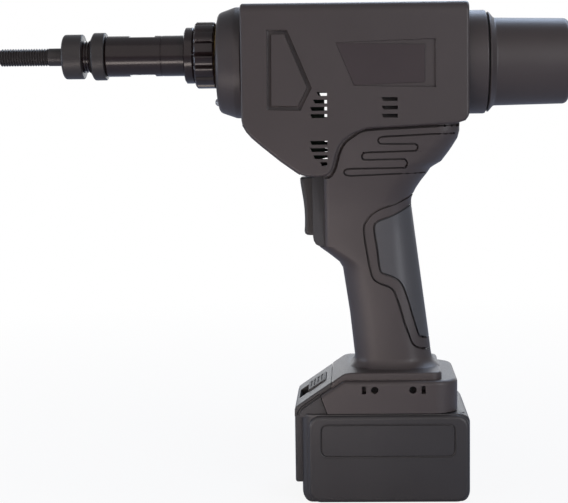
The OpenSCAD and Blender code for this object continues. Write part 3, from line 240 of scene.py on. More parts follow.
# %% [markdown]
# ## Camera, floor and light
# The camera stands where the photographer's did: about 0.8 m to the tool's left and a little above its trigger,
# looking slightly down. A long lens keeps the perspective flat. The numbers come from fitting a camera to the round
# ends of the nose and the rims of the pack, so every piece can be compared with the picture at its place.

# %% Camera
PICTURE_W = 568
focal_px = 1396.3
axis_px = 320
pitch, yaw, roll = (math.radians(a) for a in (5.974, 1.432, 0.65))

bpy.ops.object.camera_add(location=(-0.0176, -0.798, 0.2211))
camera = bpy.context.object
forward = Vector((-math.sin(yaw) * math.cos(pitch), math.cos(yaw) * math.cos(pitch), -math.sin(pitch)))
right = forward.cross(Vector((0, 0, 1))).normalized()
up = right.cross(forward)
turned_right = math.cos(roll) * right - math.sin(roll) * up
turned_up = math.sin(roll) * right + math.cos(roll) * up
camera.rotation_euler = Matrix((turned_right, turned_up, -forward)).transposed().to_euler()
camera.data.sensor_width = 36
camera.data.lens = focal_px / PICTURE_W * camera.data.sensor_width
camera.data.shift_x = (PICTURE_W / 2 - axis_px) / PICTURE_W
camera.data.clip_start, camera.data.clip_end = 0.05, 20
bpy.context.scene.camera = camera
bpy.context.scene.view_settings.view_transform = "Standard"
print("lens", round(camera.data.lens, 1), "mm, shift", round(camera.data.shift_x, 3))

# %% [markdown]
# The tool stands on a pale sweep of paper that the camera sees as white, as product pictures do. The white is given
# only to what the camera and the reflections see. The reflections see it whole only behind the tool, where the paper
# hangs, and dimmer elsewhere in the room. The light on the tool itself stays plain, so the colours render about as
# written.

# %% What the world shows behind the tool
def put(node, values):
    """Set a node's sockets by name."""
    for name, value in values.items():
        node.inputs[name].default_value = value


def wire(tree, *rows):
    """Links, each a row of node, output, node and input."""
    for start, output, end, socket in rows:
        tree.links.new(start.outputs[output], end.inputs[socket])


def ranged(nodes, low, high, to_low=0, to_high=1):
    """A node that maps one range of values to another."""
    node = nodes.new("ShaderNodeMapRange")
    put(node, {"From Min": low, "From Max": high, "To Min": to_low, "To Max": to_high})
    return node


world = bpy.data.worlds.new("studio")
bpy.context.scene.world = world
world.use_nodes = True
nodes = world.node_tree.nodes
nodes.clear()
paths = nodes.new("ShaderNodeLightPath")
seen, mirrored_share, shown = (nodes.new("ShaderNodeMath") for _ in range(3))
seen.operation, mirrored_share.operation, shown.operation = "MAXIMUM", "MULTIPLY", "MAXIMUM"
direction, parts = nodes.new("ShaderNodeTexCoord"), nodes.new("ShaderNodeSeparateXYZ")
behind = ranged(nodes, 0.7, 0.95, 0.3, 1)
wire(world.node_tree, (paths, "Is Camera Ray", seen, 0), (paths, "Is Transmission Ray", seen, 1),
     (direction, "Generated", parts, 0), (parts, "Y", behind, "Value"), (paths, "Is Glossy Ray", mirrored_share, 0),
     (behind, 0, mirrored_share, 1), (seen, 0, shown, 0), (mirrored_share, 0, shown, 1))
print(len(nodes), "nodes decide where the world is white")

# %% The world's light
AMBIENT = 0.22
ambient, paper = nodes.new("ShaderNodeBackground"), nodes.new("ShaderNodeBackground")
put(ambient, {"Color": (0.76, 0.82, 1, 1), "Strength": AMBIENT})
put(paper, {"Color": (1, 1, 1, 1), "Strength": 1})
mix, out = nodes.new("ShaderNodeMixShader"), nodes.new("ShaderNodeOutputWorld")
wire(world.node_tree, (shown, 0, mix, "Fac"), (ambient, 0, mix, 1), (paper, 0, mix, 2), (mix, 0, out, "Surface"))
print("world light", AMBIENT)

# %% Paper floor
nothing_selected()
bpy.ops.mesh.primitive_plane_add(size=12, location=(0, 0, -0.0004))
floor = named("paper_floor")
settle(floor)
print("floor", [round(v, 2) for v in floor.dimensions])

# %% Paper that is white to the camera and still takes a shadow
sheet = bpy.data.materials.new("paper")
sheet.use_nodes = True
nodes = sheet.node_tree.nodes
pale = nodes["Principled BSDF"]
put(pale, {"Base Color": (0.55, 0.565, 0.63, 1), "Roughness": 0.9, "Specular IOR Level": 0.1})
glow, mix = nodes.new("ShaderNodeEmission"), nodes.new("ShaderNodeMixShader")
put(glow, {"Color": (1, 1, 1, 1)})
place, reach = nodes.new("ShaderNodeTexCoord"), nodes.new("ShaderNodeVectorMath")
fade = ranged(nodes, 0.1, 0.8, 0.91, 1)
paths, part = nodes.new("ShaderNodeLightPath"), nodes.new("ShaderNodeMath")
reach.operation, part.operation = "LENGTH", "MULTIPLY"
wire(sheet.node_tree, (place, "Object", reach, 0), (reach, "Value", fade, "Value"), (paths, "Is Camera Ray", part, 0),
     (fade, 0, part, 1), (part, 0, mix, "Fac"), (pale, 0, mix, 1), (glow, 0, mix, 2),
     (mix, 0, nodes["Material Output"], "Surface"))
floor.data.materials.append(sheet)
print("paper", len(nodes), "nodes")

# %% [markdown]
# Six soft boxes: a large warm one over the front, a cool one at each side that draws the upright edges and rounds off
# the palm pad, a cool one high at the back that rims the tops, a thin strip low in front that draws the long highlight
# along the nose, and a wide one low at the back that grazes the ledges. The last two stand in the picture, so the
# camera doesn't see them.

# %% Soft boxes
def soft_box(name, place, aim, size, power, colour=(1, 1, 1)):
    nothing_selected()
    bpy.ops.object.light_add(type="AREA", location=place)
    box = named(name)
    box.data.shape, box.data.size, box.data.size_y = "RECTANGLE", size[0], size[1]
    box.data.energy, box.data.color = power, colour
    box.rotation_euler = (Vector(aim) - Vector(place)).to_track_quat("-Z", "Y").to_euler()
    print(name, power, "W")
    return box


soft_box("key_box", (-0.35, -1.4, 1.0), (-0.03, 0, 0.17), (3.2, 2), 8.6, (1, 0.9, 0.85))
soft_box("right_box", (0.8, -1.0, 0.5), (0, 0, 0.2), (0.5, 0.8), 8.5, (0.92, 0.95, 1))
soft_box("left_box", (-1.1, -0.12, 0.2), (0, 0, 0.16), (0.4, 0.6), 4, (0.7, 0.82, 1))
soft_box("rim_box", (0.3, 0.75, 0.95), (0, 0, 0.2), (0.9, 0.4), 7, (0.62, 0.76, 1))
hidden_boxes = [
    soft_box("strip_box", (-0.2, -0.25, 0.05), (-0.13, 0, 0.25), (0.36, 0.06), 0.46, (1, 0.88, 0.82)),
    soft_box("back_box", (0, 1.7, 0.4), (0, 0, 0.12), (2.4, 0.5), 6, (0.9, 0.94, 1)),
]
for box in hidden_boxes:
    box.visible_camera = False

# %% [markdown]
# ## Finishes
# Nearly every outer piece is moulded plastic with a spark-eroded grain, which is a fine, even roughness of the mould.
# It shows as a soft sheen without clear reflections. One helper builds it: a fine noise raises the bump and moves the
# roughness a little, and a broad noise shifts the colour slightly, as on real mouldings. The nose is blackened steel
# and needs a smoother, darker finish with faint marks from the lathe.

# %% A moulded grain
def grain(name, colour, colour_2, rough, size, depth, gloss=0.4, metal=0.0, stretch=(1, 1, 1)):
    finish = bpy.data.materials.new(name)
    finish.use_nodes = True
    nodes = finish.node_tree.nodes
    shader = nodes["Principled BSDF"]
    place, turn = nodes.new("ShaderNodeTexCoord"), nodes.new("ShaderNodeMapping")
    fine, broad = nodes.new("ShaderNodeTexNoise"), nodes.new("ShaderNodeTexNoise")
    tone, bump = nodes.new("ShaderNodeMix"), nodes.new("ShaderNodeBump")
    tone.data_type = "RGBA"
    tone.inputs["A"].default_value, tone.inputs["B"].default_value = (*colour, 1), (*colour_2, 1)
    shade, sheen = ranged(nodes, 0.3, 0.7), ranged(nodes, 0.25, 0.75, rough - 0.07, rough + 0.07)
    put(shader, {"Metallic": metal, "Specular IOR Level": gloss})
    put(turn, {"Scale": stretch})
    put(fine, {"Scale": size, "Detail": 3})
    put(broad, {"Scale": 26, "Detail": 4})
    put(bump, {"Strength": 0.5, "Distance": depth * MM})
    wire(finish.node_tree, (place, "Object", turn, "Vector"), (turn, 0, fine, "Vector"),
         (place, "Object", broad, "Vector"), (broad, "Fac", shade, "Value"), (shade, 0, tone, "Factor"),
         (tone, "Result", shader, "Base Color"), (fine, "Fac", sheen, "Value"), (sheen, 0, shader, "Roughness"),
         (fine, "Fac", bump, "Height"), (bump, 0, shader, "Normal"))
    return finish


# %% The tool's finishes, one for each slot of the record and one for the foot screws, black with painted shade of their seats
# name, two colours, roughness, grain's scale, bump in mm, gloss, metal, stretch
LATHE = (9, 0.6, 0.6)
finish_table = [
    ("shell_plastic", (0.046, 0.037, 0.036), (0.041, 0.033, 0.032), 0.44, 1500, 0.05, 0.36),
    ("palm_rubber", (0.058, 0.057, 0.060), (0.051, 0.050, 0.053), 0.38, 1900, 0.03, 0.42),
    # The pack is darker than the shell: partly its own plastic, partly painted shade for the light falling off towards
    # the bottom.
    ("pack_plastic", (0.029, 0.0265, 0.027), (0.025, 0.0225, 0.023), 0.42, 1400, 0.05, 0.36),
    ("plate_plastic", (0.043, 0.033, 0.034), (0.038, 0.029, 0.030), 0.45, 900, 0.02, 0.22),
    ("boss_plastic", (0.037, 0.030, 0.029), (0.031, 0.025, 0.025), 0.44, 1300, 0.04, 0.38),
    ("black_steel", (0.026, 0.022, 0.021), (0.019, 0.016, 0.015), 0.42, 420, 0.02, 0.38, 0.0, LATHE),
    ("gloss_black", (0.015, 0.009, 0.009), (0.011, 0.006, 0.006), 0.2, 260, 0.0006, 0.42, 0.0, LATHE),
    ("bare_steel", (0.26, 0.25, 0.24), (0.2, 0.19, 0.185), 0.36, 320, 0.01, 0.5, 1.0, LATHE),
    ("aluminium", (0.5, 0.5, 0.51), (0.42, 0.42, 0.43), 0.4, 420, 0.02, 0.5, 1.0, LATHE),
    ("brass", (0.62, 0.42, 0.12), (0.5, 0.33, 0.09), 0.28, 300, 0.01, 0.5, 1.0, LATHE),
    ("trigger_plastic", (0.047, 0.043, 0.042), (0.041, 0.037, 0.036), 0.5, 1300, 0.04, 0.22),
    ("bezel_plastic", (0.046, 0.044, 0.045), (0.040, 0.038, 0.039), 0.52, 1300, 0.04, 0.22),
    ("circuit_board", (0.018, 0.075, 0.035), (0.012, 0.055, 0.027), 0.4, 700, 0.03),
    ("copper_windings", (0.55, 0.2, 0.09), (0.4, 0.13, 0.06), 0.35, 900, 0.2, 0.5, 1.0),
    ("cell_wrap", (0.04, 0.16, 0.3), (0.03, 0.13, 0.25), 0.35, 300, 0.02),
    ("screw_black_with_painted_shade", (0.007, 0.006, 0.006), (0.005, 0.004, 0.004), 0.6, 700, 0.02, 0.12),
    ("seal_rubber", (0.016, 0.016, 0.016), (0.012, 0.012, 0.012), 0.75, 1600, 0.05, 0.2),
]
finishes = {name: grain(name, *values) for name, *values in finish_table}
print(len(finishes), "grained finishes")

# %% [markdown]
# The light by the nose has a clear dome. It is made of glass-like plastic, slightly uneven so that it doesn't look
# like a hole in the picture.

# %% Clear lens
lens_finish = grain("clear_lens", (0.9, 0.93, 0.96), (0.82, 0.86, 0.92), 0.12, 500, 0.01, 0.5)
put(lens_finish.node_tree.nodes["Principled BSDF"], {"Transmission Weight": 0.85})
finishes["clear_lens"] = lens_finish
print("lens finish", lens_finish.name)

# %% Dress the CAD nodes that stay
slot_of = {row["node"]: row["material_slot"] for row in frame["record"]["subparts"]}
print(len(slot_of), "nodes have a slot in the record")
for name, node in frame["nodes"].items():
    finish = finishes[slot_of[name]]
    node.data.materials.clear()
    node.data.materials.append(finish)

# %% [markdown]
# ## The casing
# The casing is two moulded halves that meet in the tool's middle plane: a box-like body with a slanted chin, a leaning
# handle and a foot that takes the pack. It could be sculpted, but a tool like this is drawn with a few clear outlines.
# So the body and the foot are extruded outlines with bevels, the handle is a row of rings lofted into one another, and
# a Boolean makes one form of them. One half gets all its details, and the other is its mirror image.

# %% Body and chin
BODY_Y = 33
body_outline = [
    (-79.1, 276.8), (-79.1, 213.4), (-78.3, 210.4), (-76.3, 207.2), (-73.6, 204.0), (-68.3, 199.4), (-57.6, 190.7),
    (-49.6, 185.0), (-46.6, 183.1), (-43.8, 182.3), (-36.0, 182.1), (-32.4, 182.8), (-30.2, 184.6), (-28.9, 187.6),
    (-27.6, 193.6), (-25.8, 198.3), (-22.9, 202.1), (-17.6, 205.6), (-10.3, 208.2), (38.7, 210.6), (43.4, 212.1),
    (45.6, 214.8), (45.6, 276.8)]


def body_form(name, inset=0.0):
    """The body and chin as one outline, rounded along its top, with its side edges eased."""
    corners = []
    for i, (x, z) in enumerate(body_outline):
        before, after = body_outline[i - 1], body_outline[(i + 1) % len(body_outline)]
        a = Vector((x - before[0], z - before[1])).normalized()
        b = Vector((after[0] - x, after[1] - z)).normalized()
        inward = Vector((-a.y - b.y, a.x + b.x))
        inward *= inset / max(0.3, inward.dot(Vector((-a.y, a.x))))
        corners.append((x + inward.x, z + inward.y))
    half = BODY_Y - inset
    form = side_slab(name, corners, -half, half)
    top = max(z for _, z in corners)
    bevel(form, lambda a, b: near(a.z, top) and near(b.z, top) and near(a.y, b.y), max(1, 6 - inset), 6)
    if not inset:
        ends = (min(x for x, _ in corners), max(x for x, _ in corners))
        bevel(form, lambda a, b: flank(a, b, half) or any(at("x", end)(a, b) for end in ends), 2.2, 4)
    return form


casing = body_form("left_casing")
tell("body", casing)

# %% [markdown]
# The handle changes its section all the way up: a rounded grip, a wide hood that runs out under the body, and a lip
# below the trigger. A loft of rings follows that. Each ring is a rounded rectangle whose front, back and half width are
# read from small tables of height and size, slightly crowned at the grip, and the rings are made by extruding the first
# one upwards.

# %% Handle sections
front_at = [(60, -17.6), (72.6, -17.3), (103.5, -20.6), (129.1, -24.4), (132.6, -26.4), (137.2, -32.0), (140.9, -37.0),
            (141.6, -37.6), (141.9, -34.4), (202, -34.4), (206, -30), (220, -20)]
back_at = [(60, 28), (72.6, 27.1), (80.4, 25.6), (87.4, 24.8), (163.9, 14.8), (166.8, 14.6), (169.8, 15.1), (174, 17.2),
           (178.3, 20), (182.6, 23.4), (185.6, 25.4), (187.0, 27.4), (189.4, 31.4), (196, 36.2), (202.4, 40),
           (206.5, 41), (220, 41.2)]
width_at = [(60, 19), (140, 19), (152, 19.3), (160, 20.2), (168, 21.9), (176, 24.1), (184, 26.5), (192, 28.5),
            (199, 29.9), (205, 30.9), (220, 31.2)]
front_round_at = [(60, 13), (128, 13), (141.6, 9), (141.9, 3), (182, 3), (220, 8)]
back_round_at = [(60, 15), (160, 15), (186, 17), (206, 12), (220, 10)]
crown_at = [(60, 0), (72.6, 0.14), (125, 0.14), (150, 0.05), (182, 0), (220, 0)]
crown_front_at = [(60, -17.6), (103.5, -20.6), (125, -24), (150, -34), (220, -34)]


def read(table, z):
    for (z0, v0), (z1, v1) in zip(table, table[1:]):
        if z0 <= z <= z1:
            return v0 + (v1 - v0) * (z - z0) / (z1 - z0)
    return table[-1][1]


FOOT_TOP = 72.6
FLARE, FLARE_H = 3.4, 5.5


def handle_ring(z, inset, per=9):
    """One section: a rounded rectangle that flares towards the foot and is crowned on its sides."""
    flare = FLARE * max(0, 1 - (z - FOOT_TOP) / FLARE_H) ** 2 if z > 72 else FLARE
    front, back = read(front_at, z) + inset - flare, read(back_at, z) - inset + flare
    half = read(width_at, z) - inset + flare
    r1 = max(1, min(read(front_round_at, z) - inset, half - 0.5))
    r2 = max(1, min(read(back_round_at, z) - inset, half - 0.5))
    crown_front = read(crown_front_at, z) + inset
    outline = []
    for cx, cy, r, start in ((back - r2, half - r2, r2, 0), (front + r1, half - r1, r1, 90),
                             (front + r1, r1 - half, r1, 180), (back - r2, r2 - half, r2, 270)):
        outline += arc(cx, cy, r, start, start + 90, per)
        if start in (0, 180):
            far = front + r1 if start == 0 else back - r2
            outline += [(cx + (far - cx) * i / 6, half if start == 0 else -half) for i in range(1, 6)]
    ring = []
    for x, y in outline:
        along = (2 * x - crown_front - back) / (back - crown_front)
        ring.append((x, y * (1 - read(crown_at, z) * along ** 2), z))
    return ring


# %% Loft the rings
def lofted(name, rings):
    nothing_selected()
    bpy.ops.mesh.primitive_circle_add(vertices=len(rings[0]), radius=1, fill_type="NOTHING")
    piece = named(name)
    edit(piece)
    for _ in rings[1:]:
        bpy.ops.mesh.extrude_region_move(TRANSFORM_OT_translate={"value": (0, 0, 1)})
    close()
    spots = sorted(piece.data.vertices, key=lambda v: (round(v.co.z), math.atan2(v.co.y, v.co.x) % math.tau))
    for spot, place in zip(spots, [p for ring in rings for p in ring]):
        spot.co = place
    edit(piece)
    bpy.ops.mesh.select_mode(type="EDGE")
    bpy.ops.mesh.select_all(action="DESELECT")
    bpy.ops.mesh.select_non_manifold(extend=False, use_wire=False, use_multi_face=False, use_non_contiguous=False,
                                     use_verts=False)
    bpy.ops.mesh.edge_face_add()
    close()
    tidy_skin(piece)
    return piece


def handle_form(name, inset=0.0, low=66, high=214):
    heights = [low] + [FOOT_TOP + 0.9 * i for i in range(7)] + [80.4 + 4.5 * i for i in range(11)]
    heights += [129.1, 131, 132.6, 134.5, 137.2, 139, 140.9, 141.6, 141.9] + [145 + 4 * i for i in range(5)]
    heights += [163.9, 165.5, 167, 169, 171.5, 174, 176, 178.3, 180.5, 182.6, 184.5, 185.6, 186.3, 187, 188, 189.4,
                192, 195, 198, 200.5, 202.4, 204.5, 206.5, 210, high]
    heights = sorted(h for h in set(heights) if low <= h <= high)
    return lofted(name, [handle_ring(z, inset) for z in heights])


handle = handle_form("handle")
tell("handle", handle)

# %% [markdown]
# The foot is two outlines on top of each other: a skirt with a sloping front, and a narrower plate whose step runs on
# down the slope. Bevels on chosen edges round the back in plan and ease the rims.

# %% Foot
FOOT_Y, FOOT_BACK, FOOT_LOW, SKIRT_TOP = 36, 39.5, 50.5, 68.4
SLOPE_LOW, SLOPE_TOP = -37, -24.32
skirt = side_slab("skirt", [(SLOPE_LOW, 60.17), (-33.5, FOOT_LOW), (FOOT_BACK, FOOT_LOW), (FOOT_BACK, SKIRT_TOP),
                            (SLOPE_TOP, SKIRT_TOP)], -FOOT_Y, FOOT_Y)
bevel(skirt, lambda a, b: at("x", FOOT_BACK)(a, b) and near(a.y, b.y), 14, 12)
bevel(skirt, lambda a, b: (at("z", SKIRT_TOP)(a, b) and max(a.x, b.x) > SLOPE_TOP + 1)
      or (flank(a, b, FOOT_Y) and near(min(a.x, b.x), SLOPE_LOW) and near(max(a.x, b.x), SLOPE_TOP)), 2.2, 3)
tell("skirt", skirt)

# %% Plate on the foot
PLATE_Y, PLATE_FRONT, PLATE_BACK, PLATE_LOW, STEP_LOW = 31.5, -21, 30.5, 68.0, 67.28
plate = side_slab("plate", [(-31.2, 63.55), (-31.2, STEP_LOW), (-25.4, 71.25), (-23.5, 72.2), (PLATE_FRONT, FOOT_TOP),
                            (PLATE_BACK, FOOT_TOP), (PLATE_BACK, PLATE_LOW), (SLOPE_TOP, PLATE_LOW)], -PLATE_Y, PLATE_Y)
bevel(plate, lambda a, b: at("x", PLATE_BACK)(a, b) and near(a.y, b.y), 6, 6)
bevel(plate, lambda a, b: (at("z", FOOT_TOP)(a, b) and max(a.x, b.x) > PLATE_FRONT + 1)
      or (flank(a, b, PLATE_Y) and min(a.z, b.z) > STEP_LOW - 0.1 and max(a.x, b.x) < PLATE_FRONT + 1), 1.2, 3)
combine(skirt, plate, "UNION")
combine(handle, skirt, "UNION")
combine(casing, handle, "UNION")
tell("casing", casing)

# %% [markdown]
# ## Details of the casing
# Bisect keeps the left half. Then it is hollowed with the same forms, drawn smaller by the wall, so that daylight
# comes through the cooling slots as it does on the real tool. After that come the openings for the nose, the motor,
# the pack and the trigger.

# %% Keep the left half and hollow it
edit(casing)
bpy.ops.mesh.bisect(plane_co=(0, 0, 0), plane_no=(0, 1, 0), use_fill=True, clear_outer=True)
close()
tidy_skin(casing)
BODY_WALL, GRIP_WALL = 3.2, 4.5
hollow = body_form("hollow", BODY_WALL)
combine(hollow, handle_form("grip_hollow", GRIP_WALL, low=FOOT_TOP + GRIP_WALL, high=210), "UNION")
skin_form = copy_of(casing, "skin_form")
combine(casing, hollow)
tell("hollow casing", casing)

# %% Openings
NOSE_Z, MOTOR_Z, MOTOR_R = 250, 244.5, 21.2


def rod(name, x0, x1, height, radius, steps=64):
    return turned(name, [(x0, 0), (x0, radius), (x1, radius), (x1, 0)], height, steps)


combine(casing, rod("nose_hole", -90, -60, NOSE_Z, 20.1))
combine(casing, rod("motor_hole", 30, 60, MOTOR_Z, MOTOR_R))
for name, low, high, how in (
        ("bay", (-60, -28, 40), (36, 1, 64.5), "DIFFERENCE"),
        ("rail", (-34.5, -30, FOOT_LOW), (33, -24.5, 54), "UNION"),
        ("terminal_room", (-1.6, -16.1, 60), (24.6, 1, 68.95), "DIFFERENCE"),
        ("trigger_hole", (-60, -12.6, 144.4), (-28, 1, 179.6), "DIFFERENCE"),
        ("trigger_room", (-60, -10.5, 147.4), (-29, 1, 180.8), "DIFFERENCE")):
    combine(casing, block(name, low, high), how)
tell("casing with openings", casing)

# %% [markdown]
# The cooling slots are simple cuts in rows, their front ends on a slant. The first ones are short because they follow
# the panel's corner. No daylight comes through the rear row, so its slots are drawn as blind ones.

# %% Cooling slots
SLOT_H, OPEN_FLOOR, BLIND_FLOOR = 2.1, -28, -26.5
slot_rows = [(-32.0, -37.1, 227.3), (-32.0, -39.1, 223.2), (-32.0, -40.8, 219.2), (-32.0, -40.8, 215.3),
             (-32.0, -41.0, 200.7), (-32.0, -41.0, 196.8), (-32.0, -39.4, 192.9), (-32.2, -35.7, 189.1)]
blind_rows = [(6.5, -1.8, 224.1), (6.5, -1.8, 219.5), (6.5, -1.8, 215.1)]
combine(casing, block("slot_backing", (-5, -31, 212), (9.5, -25, 227.2)), "UNION")
for right_end, left_end, z in slot_rows + blind_rows:
    floor_y = BLIND_FLOOR if (right_end, left_end, z) in blind_rows else OPEN_FLOOR
    combine(casing, side_slab("slot", [(left_end - 0.5, z + SLOT_H / 2), (left_end + 0.5, z - SLOT_H / 2),
                                       (right_end, z - SLOT_H / 2), (right_end, z + SLOT_H / 2)], -40, floor_y))
print(len(slot_rows), "slots and", len(blind_rows), "blind ones")

# %% [markdown]
# Lines on the casing are grooves of the mould. A groove is cut by a thin rod that lies on the surface: a path is drawn
# as seen from the side, dropped onto the casing by a ray for each point, and swept as a curve with a round section.

# %% Paths that lie on the casing
def eased(points, per=6):
    """More points along a smooth curve through the given ones."""
    first, last = points[0], points[-1]
    chain = [first, *points, last]
    path = []
    for p0, p1, p2, p3 in zip(chain, chain[1:], chain[2:], chain[3:]):
        for i in range(per):
            t = i / per
            path.append(tuple(0.5 * (2 * b + (c - a) * t + (2 * a - 5 * b + 4 * c - d) * t * t
                                     + (3 * b - a - 3 * c + d) * t ** 3) for a, b, c, d in zip(p0, p1, p2, p3)))
    return path + [last]


skin = BVHTree.FromObject(skin_form, bpy.context.evaluated_depsgraph_get())


def laid(path, lift=0.0):
    """Points (x, z) dropped onto the casing from its left side."""
    hits = [skin.ray_cast(Vector((x, -200, z)), Vector((0, 1, 0)))[:2] for x, z in path]
    hits = [(place, normal) for place, normal in hits if place]
    places = []
    for i, (place, _) in enumerate(hits):
        near_normals = [normal for _, normal in hits[max(0, i - 4):i + 5]]
        places.append(place + sum(near_normals, Vector()).normalized() * lift)
    return places


def laid_behind(path, lift=0.0):
    """Points (y, z) dropped onto the casing from behind. Past the middle plane they keep the last depth."""
    places = []
    for y, z in path:
        hit = skin.ray_cast(Vector((200, min(y, -0.2), z)), Vector((-1, 0, 0)))[0]
        places.append(Vector((hit.x + lift, y, z)))
    return places


def groove_rod(name, places, radius, closed=False):
    nothing_selected()
    bpy.ops.curve.primitive_bezier_curve_add()
    line = named(name)
    line.data.dimensions = "3D"
    line.data.splines.clear()
    run = line.data.splines.new("POLY")
    run.points.add(len(places) - 1)
    for point, place in zip(run.points, places):
        point.co = (*place, 1)
    run.use_cyclic_u = closed
    line.data.bevel_depth, line.data.bevel_resolution, line.data.use_fill_caps = radius, 2, True
    only(line)
    bpy.ops.object.convert(target="MESH")
    rod_mesh = bpy.context.object
    tidy_skin(rod_mesh)
    return rod_mesh


# %% Lines of the hood, the thumb rest and the palm
hood_path = eased([(41.5, 209.8), (38.9, 209.6), (14, 208.5), (-10.0, 207.3), (-17.2, 204.5), (-22.3, 200.7),
                   (-25.3, 195.6), (-26.8, 190.5), (-28.0, 186.2), (-30.2, 182.6), (-33.4, 181.0), (-36, 180.8)])
thumb_path = eased([
    (37.9, 205.2), (18, 204.5), (-0.6, 203.7), (-3.6, 203.0), (-4.3, 201.6), (-3.4, 200.0), (-0.6, 199.6),
    (13.5, 199.5), (16.4, 199.2), (17.4, 198.0), (16.6, 196.2), (13.5, 195.7), (-10, 195.1), (-12.4, 194.5),
    (-13.3, 193.1), (-12.6, 191.5), (-10, 191.0), (8.2, 191.2), (10.8, 190.6), (11.7, 188.9), (10.8, 187.0),
    (8.2, 186.4), (-15.4, 186.2), (-19.6, 186.1), (-22.3, 185.7), (-23.2, 184.4), (-22.4, 182.8), (-19.6, 182.2),
    (-15.4, 182.3), (0, 182.8), (22.2, 183.5)])
palm_path = eased([
    (13.2, 169.6), (6.3, 166.3), (-4.9, 162.4), (-10.6, 156.9), (-12.3, 151.3), (-10.7, 138.8), (-8, 125.8),
    (-4.7, 121.8), (2.1, 118.9), (5.4, 114.3), (10.4, 98.3), (14.3, 87.4), (17.7, 84), (22.6, 82.8)])
print("points on the paths:", len(hood_path), len(thumb_path), len(palm_path))

# %% Cut the grooves
combine(casing, groove_rod("hood_groove", laid(hood_path, -1.15), 1.45))
combine(casing, groove_rod("thumb_groove", laid(thumb_path, -0.85), 1.05))
palm_places = laid_behind([(1, 171.6), (-4, 171.5), (-9, 171.2), (-12.5, 170.7)], -0.95) + laid(palm_path, -0.95)
palm_places += laid_behind([(-12.5, 82.4), (-8, 82.3), (-3, 82.3), (1, 82.3)], -0.95)
combine(casing, groove_rod("palm_groove", palm_places, 1.2))
tell("grooved casing", casing)

# %% [markdown]
# On the body's side lie a five-cornered panel, drawn by a wider channel, and a recess for a bare plate. The recess gets
# deeper towards the rear, so its rear border is a broad slope. Both cutters are outlines that are inset or moved in
# edit mode.

# %% Panel channel
panel = [(-64.4, 262.2), (-53.3, 262.1), (-40.2, 230.6), (-46.5, 218.3), (-64.9, 218.7)]
CHANNEL_FLOOR = -30.6
channel = side_slab("channel", panel, -34, CHANNEL_FLOOR)
choose(channel, "FACE", lambda face: abs(face.normal.y) > 0.9)
bpy.ops.mesh.inset(thickness=2.5, use_individual=True)
bpy.ops.mesh.bridge_edge_loops()
close()
tidy_skin(channel)
bevel(channel, at("y", CHANNEL_FLOOR), 0.7, 3)
combine(casing, channel)
tell("casing with panel", casing)

# %% Plate recess
plate_corners = [(-26.8, 254.7), (21.4, 253.5), (21.3, 233.1), (-17.2, 231.9)]
border_corners = [(-27.2, 255.0), (27.4, 256.7), (27.4, 230.3), (-17.4, 231.5)]
RECESS_FRONT, RECESS_LENGTH, RECESS_FALL = -26.8, 54, 1.2
RECESS_Y = -32.7


def plate_y(x):
    """How far out the recess has its floor."""
    return RECESS_Y + RECESS_FALL * (x - RECESS_FRONT) / RECESS_LENGTH


recess = side_slab("plate_recess", border_corners, -36, -31)
for spot in recess.data.vertices:
    if near(spot.co.y, -31):
        spot.co.y = plate_y(spot.co.x)
bevel(recess, lambda a, b: a.y > -35 and b.y > -35 and (a.x + b.x) / 2 > -10, 0.55, 3)
combine(casing, recess)
tell("casing with recess", casing)

# %% [markdown]
# ## Palm pads, foot screws and the two halves
# Each half of the handle's back carries a soft pad, flush with the plastic round it. The pad is the handle's own skin
# inside the pad's outline, two millimetres deep: the handle form, cut to the outline and hollowed by a slightly smaller
# handle form. The same cutter makes the seat in the casing.

# %% Pad and its seat
pad_path = eased([(14.6, 165.0), (13.5, 164.6), (4, 159.6), (-4.4, 156.3), (-6.7, 152.4), (-5.1, 141.1), (-3.5, 128.7),
                  (-0.7, 126.4), (3.8, 124.7), (8.2, 121.2), (11.6, 113.3), (17.7, 92.7), (19.9, 90.1), (23, 88.7)], 4)
pad_outline = pad_path + [(60, 88.7), (60, 165.0)]


def pad_block(name, depth, swell):
    form = side_slab(name, pad_outline, -60, swell)
    combine(form, handle_form("pad_core", inset=depth))
    return form


pad = handle_form("left_pad")
combine(pad, pad_block("pad_cut", 2.0, 0.0), "INTERSECT")
combine(casing, pad_block("pad_seat", 2.02, 1.0))
pad_edge = laid_behind([(1, 165.0), (-5, 165.0), (-11, 164.9)], -0.7) + laid(pad_path[4:], -0.7)
pad_edge += laid_behind([(-11, 88.6), (-5, 88.6), (1, 88.6)], -0.7)
edge_rod = groove_rod("pad_edge", pad_edge, 1)
combine(pad, copy_of(edge_rod, "pad_edge_2"))
combine(casing, edge_rod)
tell("pad", pad)

# %% Screw holes and slots in the foot
def side_rod(name, x, z, y0, y1, radius, steps=32):
    nothing_selected()
    bpy.ops.mesh.primitive_cylinder_add(vertices=steps, radius=radius, depth=abs(y1 - y0),
                                        location=(x, (y0 + y1) / 2, z), rotation=(math.pi / 2, 0, 0))
    piece = named(name)
    settle(piece)
    return piece


FOOT_SCREWS = [(-7.2, 63.7), (14.0, 63.7)]
for x, z in FOOT_SCREWS:
    combine(casing, side_rod("screw_seat", x, z, -38, -31.4, 2.05))
for x in (-13.1, 19.9):
    combine(casing, block("slot", (x - 1.15, -38, 61.5), (x + 1.15, -29, 65.9)))
print("foot with", len(FOOT_SCREWS), "screw seats")

# %% The right half
SHELL_SCREWS = [(-71.4, 272.6), (36.4, 272.6), (36.4, 217.5), (-67.9, 207.1), (20.7, 198.4), (1.7, 97.7)]
other_casing = mirrored(casing, "right_casing")
other_pad = mirrored(pad, "right_pad")
for x, z in SHELL_SCREWS:
    combine(other_casing, side_rod("well", x, z, 12.2, 40, 3.1))
for piece, slot, node in ((casing, "shell_plastic", "left_shell"), (other_casing, "shell_plastic", "right_shell"),
                          (pad, "palm_rubber", "left_palm_pad"), (other_pad, "palm_rubber", "right_palm_pad")):
    finish_piece(piece, slot, node)
discard(skin_form)

